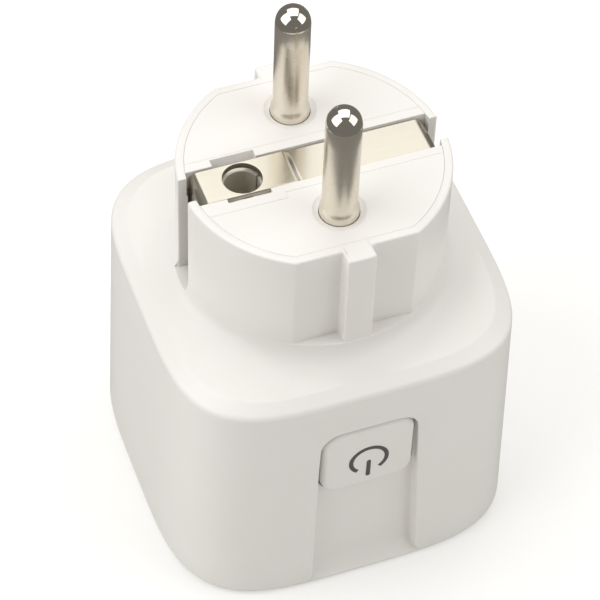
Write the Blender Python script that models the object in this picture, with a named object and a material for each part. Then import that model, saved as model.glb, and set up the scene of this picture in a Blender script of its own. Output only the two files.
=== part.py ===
"""Smart plug with a round CEE 7/7 plug on one end and a CEE 7/3 socket on the other.

All sizes are in millimetres and become metres when a mesh is made.  The origin is the
bottom centre of the socket face; +Z points at the plug's pins, the pins lie on the Y axis,
the earth strap runs along X and the power button is on the -Y side.
"""
import math

import bmesh
import bpy
from mathutils import Matrix, Vector

for old_object in list(bpy.data.objects):
    bpy.data.objects.remove(old_object, do_unlink=True)

MM = 0.001
GAP = 0.3                      # clearance between neighbouring pieces

# Housing: a rounded-square body that carries the round stem of the plug
BODY_HALF_BOTTOM = 26.0        # half width at the socket face
BODY_HALF_TOP = 24.7           # half width at the shoulder
BODY_EXPONENT_BOTTOM = 3.9     # how square the outline is
BODY_EXPONENT_TOP = 4.2
BODY_HEIGHT = 39.5             # socket face to shoulder edge
BODY_WALL = 2.0
EDGE_RADIUS = 0.8
SHOULDER_BAND = 2.1            # width of the sloping band inside the shoulder edge
SHOULDER_RISE = 1.0
FLARE_REACH = 2.1              # how far outside the stem the top starts to sweep up into it
FLARE_RISE = 2.2
STEM_RADIUS = 18.5             # a 37 mm round stem
STEM_HEIGHT = 21.0             # shoulder edge to plug face
STEM_WALL = 2.2
RIM_WALL = 1.2                 # rim that surrounds the pin carrier
RIM_DEPTH = 3.5
NOTCH_FLAT = 16.45             # distance of the keying flats from the centre
NOTCH_RIB_HALF = 2.0           # half width of the rib between two keying flats
NOTCH_DEPTH = 16.4
SIDE_SLOT_WIDTH = 4.0          # slots that bare the plug's side earth contacts
SIDE_SLOT_DEPTH = 17.5
SIDE_POCKET_REACH = 17.0       # how far out the pocket behind each slot goes
OUTLINE_POINTS = 72

# Plug pins
PIN_RADIUS = 2.4
PIN_SPACING = 19.0
PIN_LENGTH = 19.0
PIN_FOOT_STEP = 0.3            # how far the foot stands out from the pin
PIN_FOOT_HEIGHT = 1.2
PIN_FLANGE_STEP = 0.8
PIN_FLANGE_THICKNESS = 1.6
PIN_FLANGE_DEPTH = 4.5         # plug face to the flange's seat in the carrier
PIN_BOSS_DEPTH = 5.4
PIN_TAIL_RADIUS = 1.6
PIN_TAIL_LENGTH = 5.0

# Earth strap across the plug face, with a bent leg at each end
STRAP_WIDTH = 5.8
STRAP_THICKNESS = 0.9
STRAP_BELOW_FACE = 0.4
STRAP_REACH = 16.2             # centre line of each leg at its knee
STRAP_LEG_SPREAD = 0.2
STRAP_LEG_LENGTH = 15.0
STRAP_BEND_RADIUS = 1.4
EARTH_HOLE_RADIUS = 2.65
EARTH_HOLE_OFFSET = 10.1       # hole for a fixed earth pin, towards -X

# Thumb channel and power button
CHANNEL_MARGIN = 0.4           # from the button's side to the channel's wall
CHANNEL_TAPER = 0.8            # how much the channel widens on each side towards the bottom
CHANNEL_DEPTH = 1.5
CHANNEL_SKIN = 1.6             # wall left behind the channel
CHANNEL_FLARE = 3.0
BUTTON_WIDTH = 13.4
BUTTON_HEIGHT = 12.6
BUTTON_CENTRE = 26.0
BUTTON_CORNER = 2.6
BUTTON_BELOW_FACE = 0.15
BUTTON_PILLOW = 0.7
BUTTON_LIP = 0.9               # width of the lip that keeps the button in
BUTTON_LIP_THICKNESS = 0.8
BUTTON_LIP_CLEARANCE = 0.05    # to the drafted wall, at the lip's upper edge
BUTTON_TRAVEL = 0.35
PLUNGER_RADIUS = 1.5
PLUNGER_PROUD = 0.7            # how far the plunger stands out of its switch
PLUNGER_SEAT = 0.7             # how deep its foot sits in the switch
TACT_SIZE = 6.0
TACT_DEPTH = 2.2

# Socket moulding
RECESS_RADIUS = 19.5
RECESS_DEPTH = 17.5
CUP_WALL = 1.5
CUP_FLOOR = 2.0
FLANGE_THICKNESS = 2.5
KEY_DEPTH = 2.4                # guide keys of the recess
KEY_INNER_HALF = 2.6
KEY_OUTER_HALF = 8.0
KEY_SETBACK = 2.5
SOCKET_HOLE_RADIUS = 3.0
WINDOW_WIDTH = 6.8
WINDOW_LOW = 3.6
WINDOW_HIGH = 16.0
POST_X = -11.2                 # two posts that carry the power board
POST_Y = 7.8
POST_RADIUS = 2.0

# Shutter behind the pin holes
SHUTTER_THICKNESS = 1.5
SHUTTER_HALF_WIDTH = 3.3
SHUTTER_PAD_LENGTH = 8.0
SHUTTER_TRAVEL = 6.6
SHUTTER_COVER_THICKNESS = 1.2
SHUTTER_COVER_RIM = 1.2
SPRING_SOLID = 5.0             # room left for the spring at full travel
SPRING_RADIUS = 1.1
SPRING_WIRE = 0.3
SPRING_TURNS = 7

# Socket contacts and earth bracket
CONTACT_THICKNESS = 0.8
CONTACT_WIDTH = 6.0
CONTACT_INNER_HALF = 2.5
CONTACT_HEIGHT = 14.5
CONTACT_MOUTH = 1.2
BRACKET_THICKNESS = 0.8
BRACKET_WIDTH = 6.0
BRACKET_LEG_GAP = 0.4          # from the cup's wall to the bracket's leg
CLIP_REACH = 1.5               # how far each earth clip stands into the recess

# Boards
BOARD_THICKNESS = 1.6
BOARD_RADIUS = 16.0
CONTROL_BOARD_THICKNESS = 1.0
CONTROL_BOARD_MARGIN = 2.5     # from each end of the board to the cavity's narrowest place
CONTROL_BOARD_HEIGHT = 15.5

# Components, with their places from the plug's axis
RELAY_SIZE = (18.4, 10.2, 15.0)
RELAY_X = 3.0
BULK_RADIUS = 3.15
BULK_HEIGHT = 11.0
BULK_PLACE = (8.4, 9.2)
OUTPUT_RADIUS = 2.5
OUTPUT_HEIGHT = 7.0
OUTPUT_PLACE = (-5.2, 11.2)
FILM_SIZE = (6.6, 4.6, 8.5)
FILM_PLACE = (7.9, -8.6)
VARISTOR_RADIUS = 3.3
VARISTOR_THICKNESS = 3.0
VARISTOR_PLACE = (-5.2, -12.2)
FUSE_RADIUS = 1.6
FUSE_LENGTH = 8.4
FUSE_PLACE = (10.0, 6.5)
CONVERTER_SIZE = (5.0, 4.0, 1.5)
CONVERTER_PLACE = (9.5, 0.0)
BRIDGE_SIZE = (4.7, 4.0, 1.6)
BRIDGE_PLACE = (9.35, -6.2)
INDUCTOR_RADIUS = 2.9
INDUCTOR_HEIGHT = 5.0
INDUCTOR_X = -6.4
RADIO_SIZE = (16.0, 0.8, 12.6)
RADIO_X = -7.0
SHIELD_SIZE = (11.9, 1.7, 11.4)
SHIELD_X = -5.55
HEADER_SIZE = (10.0, 2.5, 2.5)
HEADER_X = 7.0
LED_SIZE = (1.6, 0.7, 0.8)
LED_X = 5.2
BUSBAR_THICKNESS = 0.8
BUSBAR_WIDTH = 3.0
BUSBAR_REACH = 3.4
RISER_THICKNESS = 0.8
RISER_WIDTH = 4.0
SLEEVE_WALL = 0.6
SLEEVE_DEPTH = 15.0            # plug face to the sleeve's lower end

# Fasteners
CASE_SCREW_RADIUS = 1.2
CASE_SCREW_LENGTH = 11.0
CASE_SCREW_HEAD = 2.3
CASE_SCREW_SINK = 1.5          # depth of the pocket for each head
CASE_BOSS_RADIUS = 3.2
CASE_BOSS_OVERLAP = 0.5        # how far each boss reaches into the corner's wall
BOARD_SCREW_RADIUS = 0.9
BOARD_SCREW_LENGTH = 5.5
BOARD_SCREW_HEAD = 1.7

# Levels worked out from the sizes above
FACE = BODY_HEIGHT + STEM_HEIGHT
RIM_FLOOR = FACE - RIM_DEPTH
STRAP_TOP = FACE - STRAP_BELOW_FACE
STRAP_UNDER = STRAP_TOP - STRAP_THICKNESS
CHANNEL_LEVEL = STRAP_UNDER - GAP
PIN_Y = PIN_SPACING / 2
PIN_FOOT_RADIUS = PIN_RADIUS + PIN_FOOT_STEP
PIN_FLANGE_RADIUS = PIN_RADIUS + PIN_FLANGE_STEP
PIN_FLANGE_TOP = FACE - PIN_FLANGE_DEPTH - GAP
PIN_TAIL_TOP = PIN_FLANGE_TOP - PIN_FLANGE_THICKNESS
PIN_TAIL_LOW = PIN_TAIL_TOP - PIN_TAIL_LENGTH
PIN_BOSS_RADIUS = NOTCH_FLAT - STEM_WALL - GAP - PIN_Y   # as wide as the bore lets it be
CHANNEL_HALF_TOP = BUTTON_WIDTH / 2 + CHANNEL_MARGIN
CHANNEL_TOP = BUTTON_CENTRE + BUTTON_HEIGHT / 2 + GAP
KEY_FLAT = RECESS_RADIUS - KEY_DEPTH
CUP_RADIUS = RECESS_RADIUS + CUP_WALL
CUP_TOP = RECESS_DEPTH + CUP_FLOOR
SHUTTER_LOW = CUP_TOP + GAP
SHUTTER_HIGH = SHUTTER_LOW + SHUTTER_THICKNESS
COVER_LOW = SHUTTER_HIGH + GAP
SPRING_STOP = SHUTTER_TRAVEL + SPRING_SOLID
SHUTTER_COVER_HALF = SPRING_STOP + SHUTTER_COVER_RIM
COVER_HIGH = COVER_LOW + SHUTTER_COVER_THICKNESS
BRACKET_LOW = COVER_HIGH + GAP
BRACKET_HIGH = BRACKET_LOW + BRACKET_THICKNESS
CONTACT_LOW = COVER_HIGH + GAP
CONTACT_HIGH = CONTACT_LOW + CONTACT_HEIGHT
BOARD_LOW = CONTACT_HIGH + GAP
BOARD_HIGH = BOARD_LOW + BOARD_THICKNESS
PARTS_LOW = BOARD_HIGH + GAP


def body_half(z):
    """Half width of the drafted body at a height."""
    return BODY_HALF_BOTTOM + (BODY_HALF_TOP - BODY_HALF_BOTTOM) * z / BODY_HEIGHT


def body_exponent(z):
    """Squareness of the body at a height."""
    share = z / BODY_HEIGHT
    return BODY_EXPONENT_BOTTOM + (BODY_EXPONENT_TOP - BODY_EXPONENT_BOTTOM) * share


BUTTON_FACE = body_half(BUTTON_CENTRE) - BUTTON_BELOW_FACE
CHANNEL_WALL_OUT = body_half(BUTTON_CENTRE) - CHANNEL_DEPTH
CHANNEL_WALL_IN = CHANNEL_WALL_OUT - CHANNEL_SKIN
LIP_TOP = BUTTON_CENTRE + BUTTON_HEIGHT / 2 + GAP + BUTTON_LIP
LIP_FRONT = CHANNEL_WALL_IN - (body_half(BUTTON_CENTRE) - body_half(LIP_TOP)) - BUTTON_LIP_CLEARANCE
LIP_BACK = LIP_FRONT - BUTTON_LIP_THICKNESS
PLUNGER_TIP = LIP_BACK - GAP
TACT_FRONT = PLUNGER_TIP - PLUNGER_PROUD
TACT_BACK = TACT_FRONT - TACT_DEPTH
CONTROL_FRONT = TACT_BACK - GAP
CONTROL_BACK = CONTROL_FRONT - CONTROL_BOARD_THICKNESS
CONTROL_LOW = COVER_HIGH
CONTROL_HIGH = CONTROL_LOW + CONTROL_BOARD_HEIGHT
CEILING_HALF = BODY_HALF_TOP - SHOULDER_BAND - 1.2
CEILING_EXPONENT = 4.0


# ---------------------------------------------------------------- materials and meshes

def linear(channel):
    """One sRGB channel, 0 to 1, as a linear value."""
    if channel <= 0.04045:
        return channel / 12.92
    return ((channel + 0.055) / 1.055) ** 2.4


def material(name, code, roughness, metallic=0.0):
    """A Principled material from a hex colour."""
    found = bpy.data.materials.new(name)
    found.use_nodes = True
    shader = found.node_tree.nodes["Principled BSDF"]
    rgb = [linear(int(code[i:i + 2], 16) / 255) for i in (0, 2, 4)]
    shader.inputs["Base Color"].default_value = (*rgb, 1.0)
    shader.inputs["Roughness"].default_value = roughness
    shader.inputs["Metallic"].default_value = metallic
    found.diffuse_color = (*rgb, 1.0)
    return found


def white_plastic(name):
    return material(name, "F4F2EE", 0.38)


def nickel(name):
    return material(name, "C9C4B8", 0.22, 1.0)


def brass(name):
    return material(name, "C9A55C", 0.30, 1.0)


def circuit_board(name):
    return material(name, "1F6B3A", 0.45)


def dark_plastic(name):
    return material(name, "26272A", 0.45)


def make_object(name, shape, finish=None, origin=(0.0, 0.0, 0.0), smooth=True):
    """An object from a bmesh in millimetres, with its origin at a point in millimetres."""
    bmesh.ops.recalc_face_normals(shape, faces=shape.faces)
    bmesh.ops.translate(shape, verts=shape.verts, vec=-Vector(origin))
    bmesh.ops.scale(shape, verts=shape.verts, vec=(MM, MM, MM))
    mesh = bpy.data.meshes.new(name)
    shape.to_mesh(mesh)
    shape.free()
    if smooth:
        mesh.shade_smooth()
        mesh.set_sharp_from_angle(angle=math.radians(32))
    if finish is not None:
        mesh.materials.append(finish)
    made = bpy.data.objects.new(name, mesh)
    made.location = Vector(origin) * MM
    bpy.context.collection.objects.link(made)
    return made


def boolean(target, tool, operation):
    """Cut a tool from a target or join it on, and hide the tool."""
    modifier = target.modifiers.new(tool.name, "BOOLEAN")
    modifier.object = tool
    modifier.operation = operation
    modifier.solver = "EXACT"
    tool.hide_render = True
    tool.display_type = "WIRE"


def cut(target, name, shape):
    boolean(target, make_object(name, shape), "DIFFERENCE")


def fuse(target, name, shape):
    boolean(target, make_object(name, shape), "UNION")


def loft(rings, closed=False):
    """Skin a list of equal rings; the two ends are capped, or meet when closed."""
    shape = bmesh.new()
    rows = [[shape.verts.new(point) for point in ring] for ring in rings]
    count = len(rows[0])
    steps = len(rows) if closed else len(rows) - 1
    for i in range(steps):
        low = rows[i]
        high = rows[(i + 1) % len(rows)]
        for j in range(count):
            k = (j + 1) % count
            shape.faces.new((low[j], low[k], high[k], high[j]))
    if not closed:
        shape.faces.new(rows[0])
        shape.faces.new(list(reversed(rows[-1])))
    return shape


def flat_ring(outline, level, plane="xy"):
    """Lift a flat outline into space; the plane's normal coordinate is the level."""
    if plane == "xy":
        return [(a, b, level) for a, b in outline]
    if plane == "xz":
        return [(a, level, b) for a, b in outline]
    return [(level, a, b) for a, b in outline]


def extrude(outline, low, high, plane="xy"):
    return loft([flat_ring(outline, low, plane), flat_ring(outline, high, plane)])


def block(x_low, x_high, y_low, y_high, z_low, z_high):
    outline = [(x_low, y_low), (x_high, y_low), (x_high, y_high), (x_low, y_high)]
    return extrude(outline, z_low, z_high)


def box_at(size, x, y, z):
    """A block of a given size about a point."""
    a, b, c = (length / 2 for length in size)
    return block(x - a, x + a, y - b, y + b, z - c, z + c)


def bevelled(shape, width):
    """Round the sharp edges of a block."""
    edges = [edge for edge in shape.edges if edge.calc_face_angle(0) > math.radians(50)]
    bmesh.ops.bevel(shape, geom=edges, offset=width, segments=2, profile=0.5,
                    affect="EDGES")
    return shape


def circle(radius, count=32, centre=(0.0, 0.0)):
    turns = [2 * math.pi * i / count for i in range(count)]
    return [(centre[0] + radius * math.cos(t), centre[1] + radius * math.sin(t))
            for t in turns]


def arc(centre, radius, start, end, count):
    """Points of an arc, with its angles in degrees."""
    found = []
    for i in range(count + 1):
        turn = math.radians(start + (end - start) * i / count)
        found.append((centre[0] + radius * math.cos(turn),
                      centre[1] + radius * math.sin(turn)))
    return found


def rounded_rectangle(width, height, radius, centre=(0.0, 0.0), count=4):
    x = width / 2 - radius
    y = height / 2 - radius
    corners = [((x, y), 0), ((-x, y), 90), ((-x, -y), 180), ((x, -y), 270)]
    found = []
    for (cx, cy), start in corners:
        middle = (centre[0] + cx, centre[1] + cy)
        found += arc(middle, radius, start, start + 90, count)
    return found


def superellipse(half, exponent, count=OUTLINE_POINTS):
    """A rounded square, with its points at equal angles about the centre."""
    found = []
    for i in range(count):
        turn = 2 * math.pi * i / count
        c = abs(math.cos(turn)) ** exponent
        s = abs(math.sin(turn)) ** exponent
        reach = half / (c + s) ** (1 / exponent)
        found.append((reach * math.cos(turn), reach * math.sin(turn)))
    return found


def keyed_circle(radius, flat):
    """A circle with a flat on each side in Y, as the stem has at its keying notches."""
    return [(x, max(-flat, min(flat, y))) for x, y in circle(radius, OUTLINE_POINTS)]


def turned(profile, count=24, axis="z", place=(0.0, 0.0, 0.0)):
    """A solid of revolution from (radius, height) pairs, low end first."""
    shape = loft([[(x, y, z) for x, y in circle(r, count)] for r, z in profile])
    return laid(shape, axis, place)


def laid(shape, axis, place):
    """Turn a shape from the Z axis to another one and move it."""
    if axis == "x":
        bmesh.ops.transform(shape, verts=shape.verts, matrix=Matrix.Rotation(math.pi / 2, 4, "Y"))
    if axis == "y":
        bmesh.ops.transform(shape, verts=shape.verts, matrix=Matrix.Rotation(-math.pi / 2, 4, "X"))
    bmesh.ops.translate(shape, verts=shape.verts, vec=place)
    return shape


def strip(path, thickness, width, plane="xz", centre=0.0):
    """Sheet metal bent along a flat path and as wide as given across it."""
    sides = ([], [])
    for i, point in enumerate(path):
        before = Vector(path[max(i - 1, 0)])
        after = Vector(path[min(i + 1, len(path) - 1)])
        here = Vector(point)
        ahead = (after - before).normalized()
        normal = Vector((-ahead.y, ahead.x))
        if 0 < i < len(path) - 1:
            bend = (here - before).normalized().dot(ahead)
            normal /= max(bend, 0.5)
        sides[0].append(tuple(here + normal * thickness / 2))
        sides[1].append(tuple(here - normal * thickness / 2))
    outline = sides[0] + list(reversed(sides[1]))
    return extrude(outline, centre - width / 2, centre + width / 2, plane)


def joined(shapes):
    """Several separate closed shapes in one cutter."""
    whole = bmesh.new()
    for shape in shapes:
        spare = bpy.data.meshes.new("spare")
        bmesh.ops.recalc_face_normals(shape, faces=shape.faces)
        shape.to_mesh(spare)
        shape.free()
        whole.from_mesh(spare)
        bpy.data.meshes.remove(spare)
    return whole


# ---------------------------------------------------------------- housing

def housing_rings():
    """Outer skin of the body, shoulder and stem, from the socket face up."""
    top = BODY_HEIGHT
    square = BODY_EXPONENT_TOP
    corner = EDGE_RADIUS
    levels = [
        (body_half(0) - corner, BODY_EXPONENT_BOTTOM, 0.0),
        (body_half(0) - corner * 0.3, BODY_EXPONENT_BOTTOM, corner * 0.3),
        (body_half(corner), body_exponent(corner), corner),
        (body_half(top * 0.5), body_exponent(top * 0.5), top * 0.5),
        (body_half(top - corner), body_exponent(top - corner), top - corner),
        (BODY_HALF_TOP - corner * 0.25, square, top - corner * 0.25),
        (BODY_HALF_TOP - corner, square, top + corner * 0.25),
        (BODY_HALF_TOP - SHOULDER_BAND, square, top + SHOULDER_RISE),
    ]
    flare = top + SHOULDER_RISE + FLARE_RISE
    reach = FLARE_REACH
    levels += [
        (STEM_RADIUS + reach, 2.3, flare - reach * 0.5),
        (STEM_RADIUS + reach * 0.4, 2.0, flare + reach * 0.1),
        (STEM_RADIUS + reach * 0.1, 2.0, flare + reach * 0.7),
        (STEM_RADIUS, 2.0, flare + reach * 1.3),
        (STEM_RADIUS, 2.0, FACE),
    ]
    return [flat_ring(superellipse(half, n), z) for half, n, z in levels]


def cavity_outline(z, gap=0.0):
    """Inside of the housing wall, flat behind the thumb channel."""
    half = body_half(z) - BODY_WALL - gap
    limit = CHANNEL_WALL_IN + body_half(z) - body_half(BUTTON_CENTRE) - gap
    return [(x, max(-limit, y)) for x, y in superellipse(half, body_exponent(z))]


def cavity_shape():
    ceiling = BODY_HEIGHT - BODY_WALL
    levels = [-1.0, BUTTON_CENTRE, ceiling - 0.6]
    rings = [flat_ring(cavity_outline(z), z) for z in levels]
    rings.append(flat_ring(superellipse(CEILING_HALF, CEILING_EXPONENT), ceiling + 0.6))
    rings.append(flat_ring(superellipse(STEM_RADIUS - 0.6, 2.0), ceiling + 3.2))
    return loft(rings)


def stem_bore_shapes():
    """Bore of the stem, the rim that takes the pin carrier, and the side slots."""
    bore = keyed_circle(STEM_RADIUS - STEM_WALL, NOTCH_FLAT - STEM_WALL)
    rim = keyed_circle(STEM_RADIUS - RIM_WALL, NOTCH_FLAT - RIM_WALL)
    return extrude(bore, BODY_HEIGHT - BODY_WALL, RIM_FLOOR + 0.1), extrude(rim, RIM_FLOOR, FACE + 1)


def notch_shape():
    """The four keying notches, two beside each rib."""
    low = FACE - NOTCH_DEPTH
    outside = STEM_RADIUS + 3
    far = STEM_RADIUS * 0.75
    pieces = []
    for side_x in (-1, 1):
        for side_y in (-1, 1):
            xs = sorted((side_x * NOTCH_RIB_HALF, side_x * far))
            ys = sorted((side_y * NOTCH_FLAT, side_y * outside))
            pieces.append(block(*xs, *ys, low, FACE + 1))
    return joined(pieces)


def side_slot_shapes():
    """Open slot through each side of the stem and the wider pocket behind it."""
    low = FACE - SIDE_SLOT_DEPTH
    slot_half = SIDE_SLOT_WIDTH / 2
    pocket_half = STRAP_WIDTH / 2 + GAP
    slots = []
    pockets = []
    for side in (-1, 1):
        slot_x = sorted((side * (SIDE_POCKET_REACH - 1), side * (STEM_RADIUS + 3)))
        slots.append(block(*slot_x, -slot_half, slot_half, low, FACE + 1))
        pocket_x = sorted((side * (STRAP_REACH - 3), side * SIDE_POCKET_REACH))
        pockets.append(block(*pocket_x, -pocket_half, pocket_half, low, FACE + 2))
    return joined(slots), joined(pockets)


def channel_half(z):
    """Half width of the thumb channel, which opens out at the bottom edge."""
    share = (CHANNEL_TOP - z) / CHANNEL_TOP
    half = CHANNEL_HALF_TOP + CHANNEL_TAPER * share
    if z < CHANNEL_FLARE:
        drop = CHANNEL_FLARE - max(z, 0)
        half += CHANNEL_FLARE - math.sqrt(CHANNEL_FLARE ** 2 - drop ** 2)
    return half


def channel_shape():
    """Cutter for the thumb channel under the button, with a rounded foot along each wall."""
    rings = []
    for z in (-1.0, 0.0, 0.4, 0.9, 1.6, CHANNEL_FLARE, CHANNEL_TOP):
        half = channel_half(z)
        outer = body_half(z) + 1
        floor = body_half(z) - CHANNEL_DEPTH
        foot = [(half, floor + 0.8), (half - 0.25, floor + 0.25), (half - 0.8, floor)]
        right = [(half, outer)] + foot
        outline = right + [(-x, y) for x, y in reversed(right)]
        rings.append(flat_ring([(x, -y) for x, y in outline], z))
    return loft(rings)


def button_opening_shape():
    outline = rounded_rectangle(BUTTON_WIDTH + 2 * GAP, BUTTON_HEIGHT + 2 * GAP,
                                BUTTON_CORNER + GAP, (0.0, BUTTON_CENTRE))
    return extrude(outline, -BODY_HALF_BOTTOM - 1, -LIP_BACK, "xz")


def corner_places():
    """Screw axes, set so that each boss grows out of the corner of the wall."""
    z = FLANGE_THICKNESS + CASE_SCREW_LENGTH
    corner = (body_half(z) - BODY_WALL) * 2 ** (0.5 - 1 / body_exponent(z))
    place = (corner + CASE_BOSS_OVERLAP - CASE_BOSS_RADIUS) / math.sqrt(2)
    return [(place, place), (-place, place), (-place, -place), (place, -place)]


def make_housing():
    housing = make_object("housing", loft(housing_rings()), white_plastic("housing_plastic"))
    cut(housing, "cavity_cutter", cavity_shape())
    bore, rim = stem_bore_shapes()
    cut(housing, "stem_bore_cutter", bore)
    cut(housing, "rim_cutter", rim)
    cut(housing, "notch_cutter", notch_shape())
    slots, pockets = side_slot_shapes()
    cut(housing, "side_slot_cutter", slots)
    cut(housing, "side_pocket_cutter", pockets)
    cut(housing, "thumb_channel_cutter", channel_shape())
    cut(housing, "button_opening_cutter", button_opening_shape())
    low = FLANGE_THICKNESS + GAP
    high = low + CASE_SCREW_LENGTH
    for number, place in enumerate(corner_places(), 1):
        boss = extrude(circle(CASE_BOSS_RADIUS, 24, place), low, high)
        fuse(housing, f"screw_boss_{number}", boss)
    holes = [extrude(circle(CASE_SCREW_RADIUS + GAP, 16, place), low - 1, high - 1)
             for place in corner_places()]
    cut(housing, "screw_hole_cutter", joined(holes))


# ---------------------------------------------------------------- plug end

def make_pin_carrier():
    """Insert that closes the stem, holds both pins and guides the earth strap."""
    inset = RIM_WALL + GAP
    outline = keyed_circle(STEM_RADIUS - inset, NOTCH_FLAT - inset)
    carrier = make_object("pin_carrier", extrude(outline, RIM_FLOOR + GAP, FACE),
                          white_plastic("pin_carrier_plastic"))
    half = STRAP_WIDTH / 2 + GAP
    reach = STEM_RADIUS
    cut(carrier, "strap_channel_cutter",
        block(-reach, reach, -half, half, CHANNEL_LEVEL, FACE + 1))
    ends = []
    for side in (-1, 1):
        xs = sorted((side * (STRAP_REACH - STRAP_THICKNESS - 1.0), side * reach))
        ends.append(block(*xs, -half, half, RIM_FLOOR - 1, FACE + 1))
    cut(carrier, "strap_leg_cutter", joined(ends))
    for number, side in enumerate((-1, 1), 1):
        place = (0.0, side * PIN_Y)
        boss = extrude(circle(PIN_BOSS_RADIUS, 24, place),
                       FACE - PIN_BOSS_DEPTH, RIM_FLOOR + 1)
        fuse(carrier, f"pin_boss_{number}", boss)
        hole = extrude(circle(PIN_FOOT_RADIUS + GAP, 24, place),
                       FACE - PIN_BOSS_DEPTH - 1, FACE + 1)
        cut(carrier, f"pin_hole_{number}", hole)
        seat = extrude(circle(PIN_FLANGE_RADIUS + GAP, 24, place),
                       FACE - PIN_BOSS_DEPTH - 1, FACE - PIN_FLANGE_DEPTH)
        cut(carrier, f"pin_seat_{number}", seat)
    sleeve = extrude(circle(EARTH_HOLE_RADIUS + SLEEVE_WALL + 0.2, 24, (-EARTH_HOLE_OFFSET, 0.0)),
                     RIM_FLOOR - 1, FACE)
    cut(carrier, "earth_sleeve_hole", sleeve)


def make_pin(name, side):
    """Solid round pin with a domed tip, a foot and a flange held inside the carrier."""
    tip = FACE + PIN_LENGTH
    dome = [(PIN_RADIUS * math.cos(t), tip - PIN_RADIUS + PIN_RADIUS * math.sin(t))
            for t in (math.radians(a) for a in (0, 20, 40, 58, 74, 85))]
    profile = [
        (PIN_TAIL_RADIUS, PIN_TAIL_LOW),
        (PIN_TAIL_RADIUS, PIN_TAIL_TOP),
        (PIN_FLANGE_RADIUS, PIN_TAIL_TOP),
        (PIN_FLANGE_RADIUS, PIN_FLANGE_TOP),
        (PIN_FOOT_RADIUS, PIN_FLANGE_TOP),
        (PIN_FOOT_RADIUS, FACE + PIN_FOOT_HEIGHT - 0.3),
        (PIN_RADIUS, FACE + PIN_FOOT_HEIGHT),
    ] + dome
    shape = turned(profile, 24, "z", (0.0, side * PIN_Y, 0.0))
    make_object(name, shape, nickel(name + "_nickel"))


def strap_path():
    """Centre line of the earth strap: leg, bend, flat run, bend, leg."""
    level = STRAP_TOP - STRAP_THICKNESS / 2
    bend = STRAP_BEND_RADIUS
    centre = (STRAP_REACH - bend, level - bend)
    right = [(STRAP_REACH + STRAP_LEG_SPREAD, level - STRAP_LEG_LENGTH)]
    right += arc(centre, bend, 0, 90, 4)
    return right + [(-x, z) for x, z in reversed(right)]


def make_earth_strap():
    strap = make_object("earth_strap", strip(strap_path(), STRAP_THICKNESS, STRAP_WIDTH),
                        nickel("earth_strap_nickel"))
    hole = extrude(circle(EARTH_HOLE_RADIUS, 32, (-EARTH_HOLE_OFFSET, 0.0)),
                   STRAP_UNDER - 1, STRAP_TOP + 1)
    cut(strap, "earth_hole_cutter", hole)


def make_earth_sleeve():
    """Rolled spring sleeve under the hole, slit along one side, for a fixed earth pin."""
    inner_radius = EARTH_HOLE_RADIUS - 0.15
    centre = (-EARTH_HOLE_OFFSET, 0.0)
    outline = arc(centre, inner_radius + SLEEVE_WALL, 25, 335, 20)
    outline += arc(centre, inner_radius, 335, 25, 20)
    make_object("earth_pin_sleeve", extrude(outline, FACE - SLEEVE_DEPTH, STRAP_UNDER - GAP),
                nickel("earth_pin_sleeve_nickel"))


def make_earth_riser():
    """Flat bar that joins the plug's earth sleeve to the socket's earth bracket."""
    low = BRACKET_HIGH + GAP
    high = FACE - SLEEVE_DEPTH - GAP
    size = (RISER_THICKNESS, RISER_WIDTH, high - low)
    shape = box_at(size, -EARTH_HOLE_OFFSET, 0.0, (low + high) / 2)
    make_object("earth_riser", bevelled(shape, 0.15), brass("earth_riser_brass"))


# ---------------------------------------------------------------- button

def make_button():
    """Pillowed key with a lip inside the wall; its origin is the middle of its face."""
    width = BUTTON_WIDTH
    height = BUTTON_HEIGHT
    steps = [(0.0, -LIP_FRONT + 0.4), (0.0, -BUTTON_FACE + BUTTON_PILLOW),
             (0.12, -BUTTON_FACE + 0.35 * BUTTON_PILLOW), (0.45, -BUTTON_FACE + 0.08 * BUTTON_PILLOW),
             (1.0, -BUTTON_FACE)]
    rings = []
    for inset, level in steps:
        outline = rounded_rectangle(width - 2 * inset, height - 2 * inset,
                                    BUTTON_CORNER - inset, (0.0, BUTTON_CENTRE))
        rings.append(flat_ring(outline, level, "xz"))
    origin = (0.0, -BUTTON_FACE, BUTTON_CENTRE)
    button = make_object("power_button", loft(rings), white_plastic("button_plastic"), origin)
    reach = width / 2 + GAP + BUTTON_LIP
    low = max(BUTTON_CENTRE - height / 2 + GAP, CUP_TOP + GAP)
    fuse(button, "button_lip", block(-reach, reach, -LIP_FRONT, -LIP_BACK, low, LIP_TOP))


def make_tact_switch():
    """Side of the control board: the key switch with its moving plunger."""
    half = TACT_SIZE / 2
    shape = bevelled(block(-half, half, -TACT_FRONT, -TACT_BACK,
                           BUTTON_CENTRE - half, BUTTON_CENTRE + half), 0.25)
    switch = make_object("tact_switch", shape, dark_plastic("tact_switch_plastic"))
    bore = extrude(circle(PLUNGER_RADIUS + GAP, 20, (0.0, BUTTON_CENTRE)),
                   -TACT_FRONT - 1, -TACT_FRONT + PLUNGER_SEAT + BUTTON_TRAVEL + GAP, "xz")
    cut(switch, "plunger_bore", bore)
    plunger = extrude(circle(PLUNGER_RADIUS, 20, (0.0, BUTTON_CENTRE)),
                      -PLUNGER_TIP, -TACT_FRONT + PLUNGER_SEAT, "xz")
    make_object("tact_plunger", bevelled(plunger, 0.15), white_plastic("plunger_plastic"),
                (0.0, -PLUNGER_TIP, BUTTON_CENTRE))


# ---------------------------------------------------------------- socket end

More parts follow.
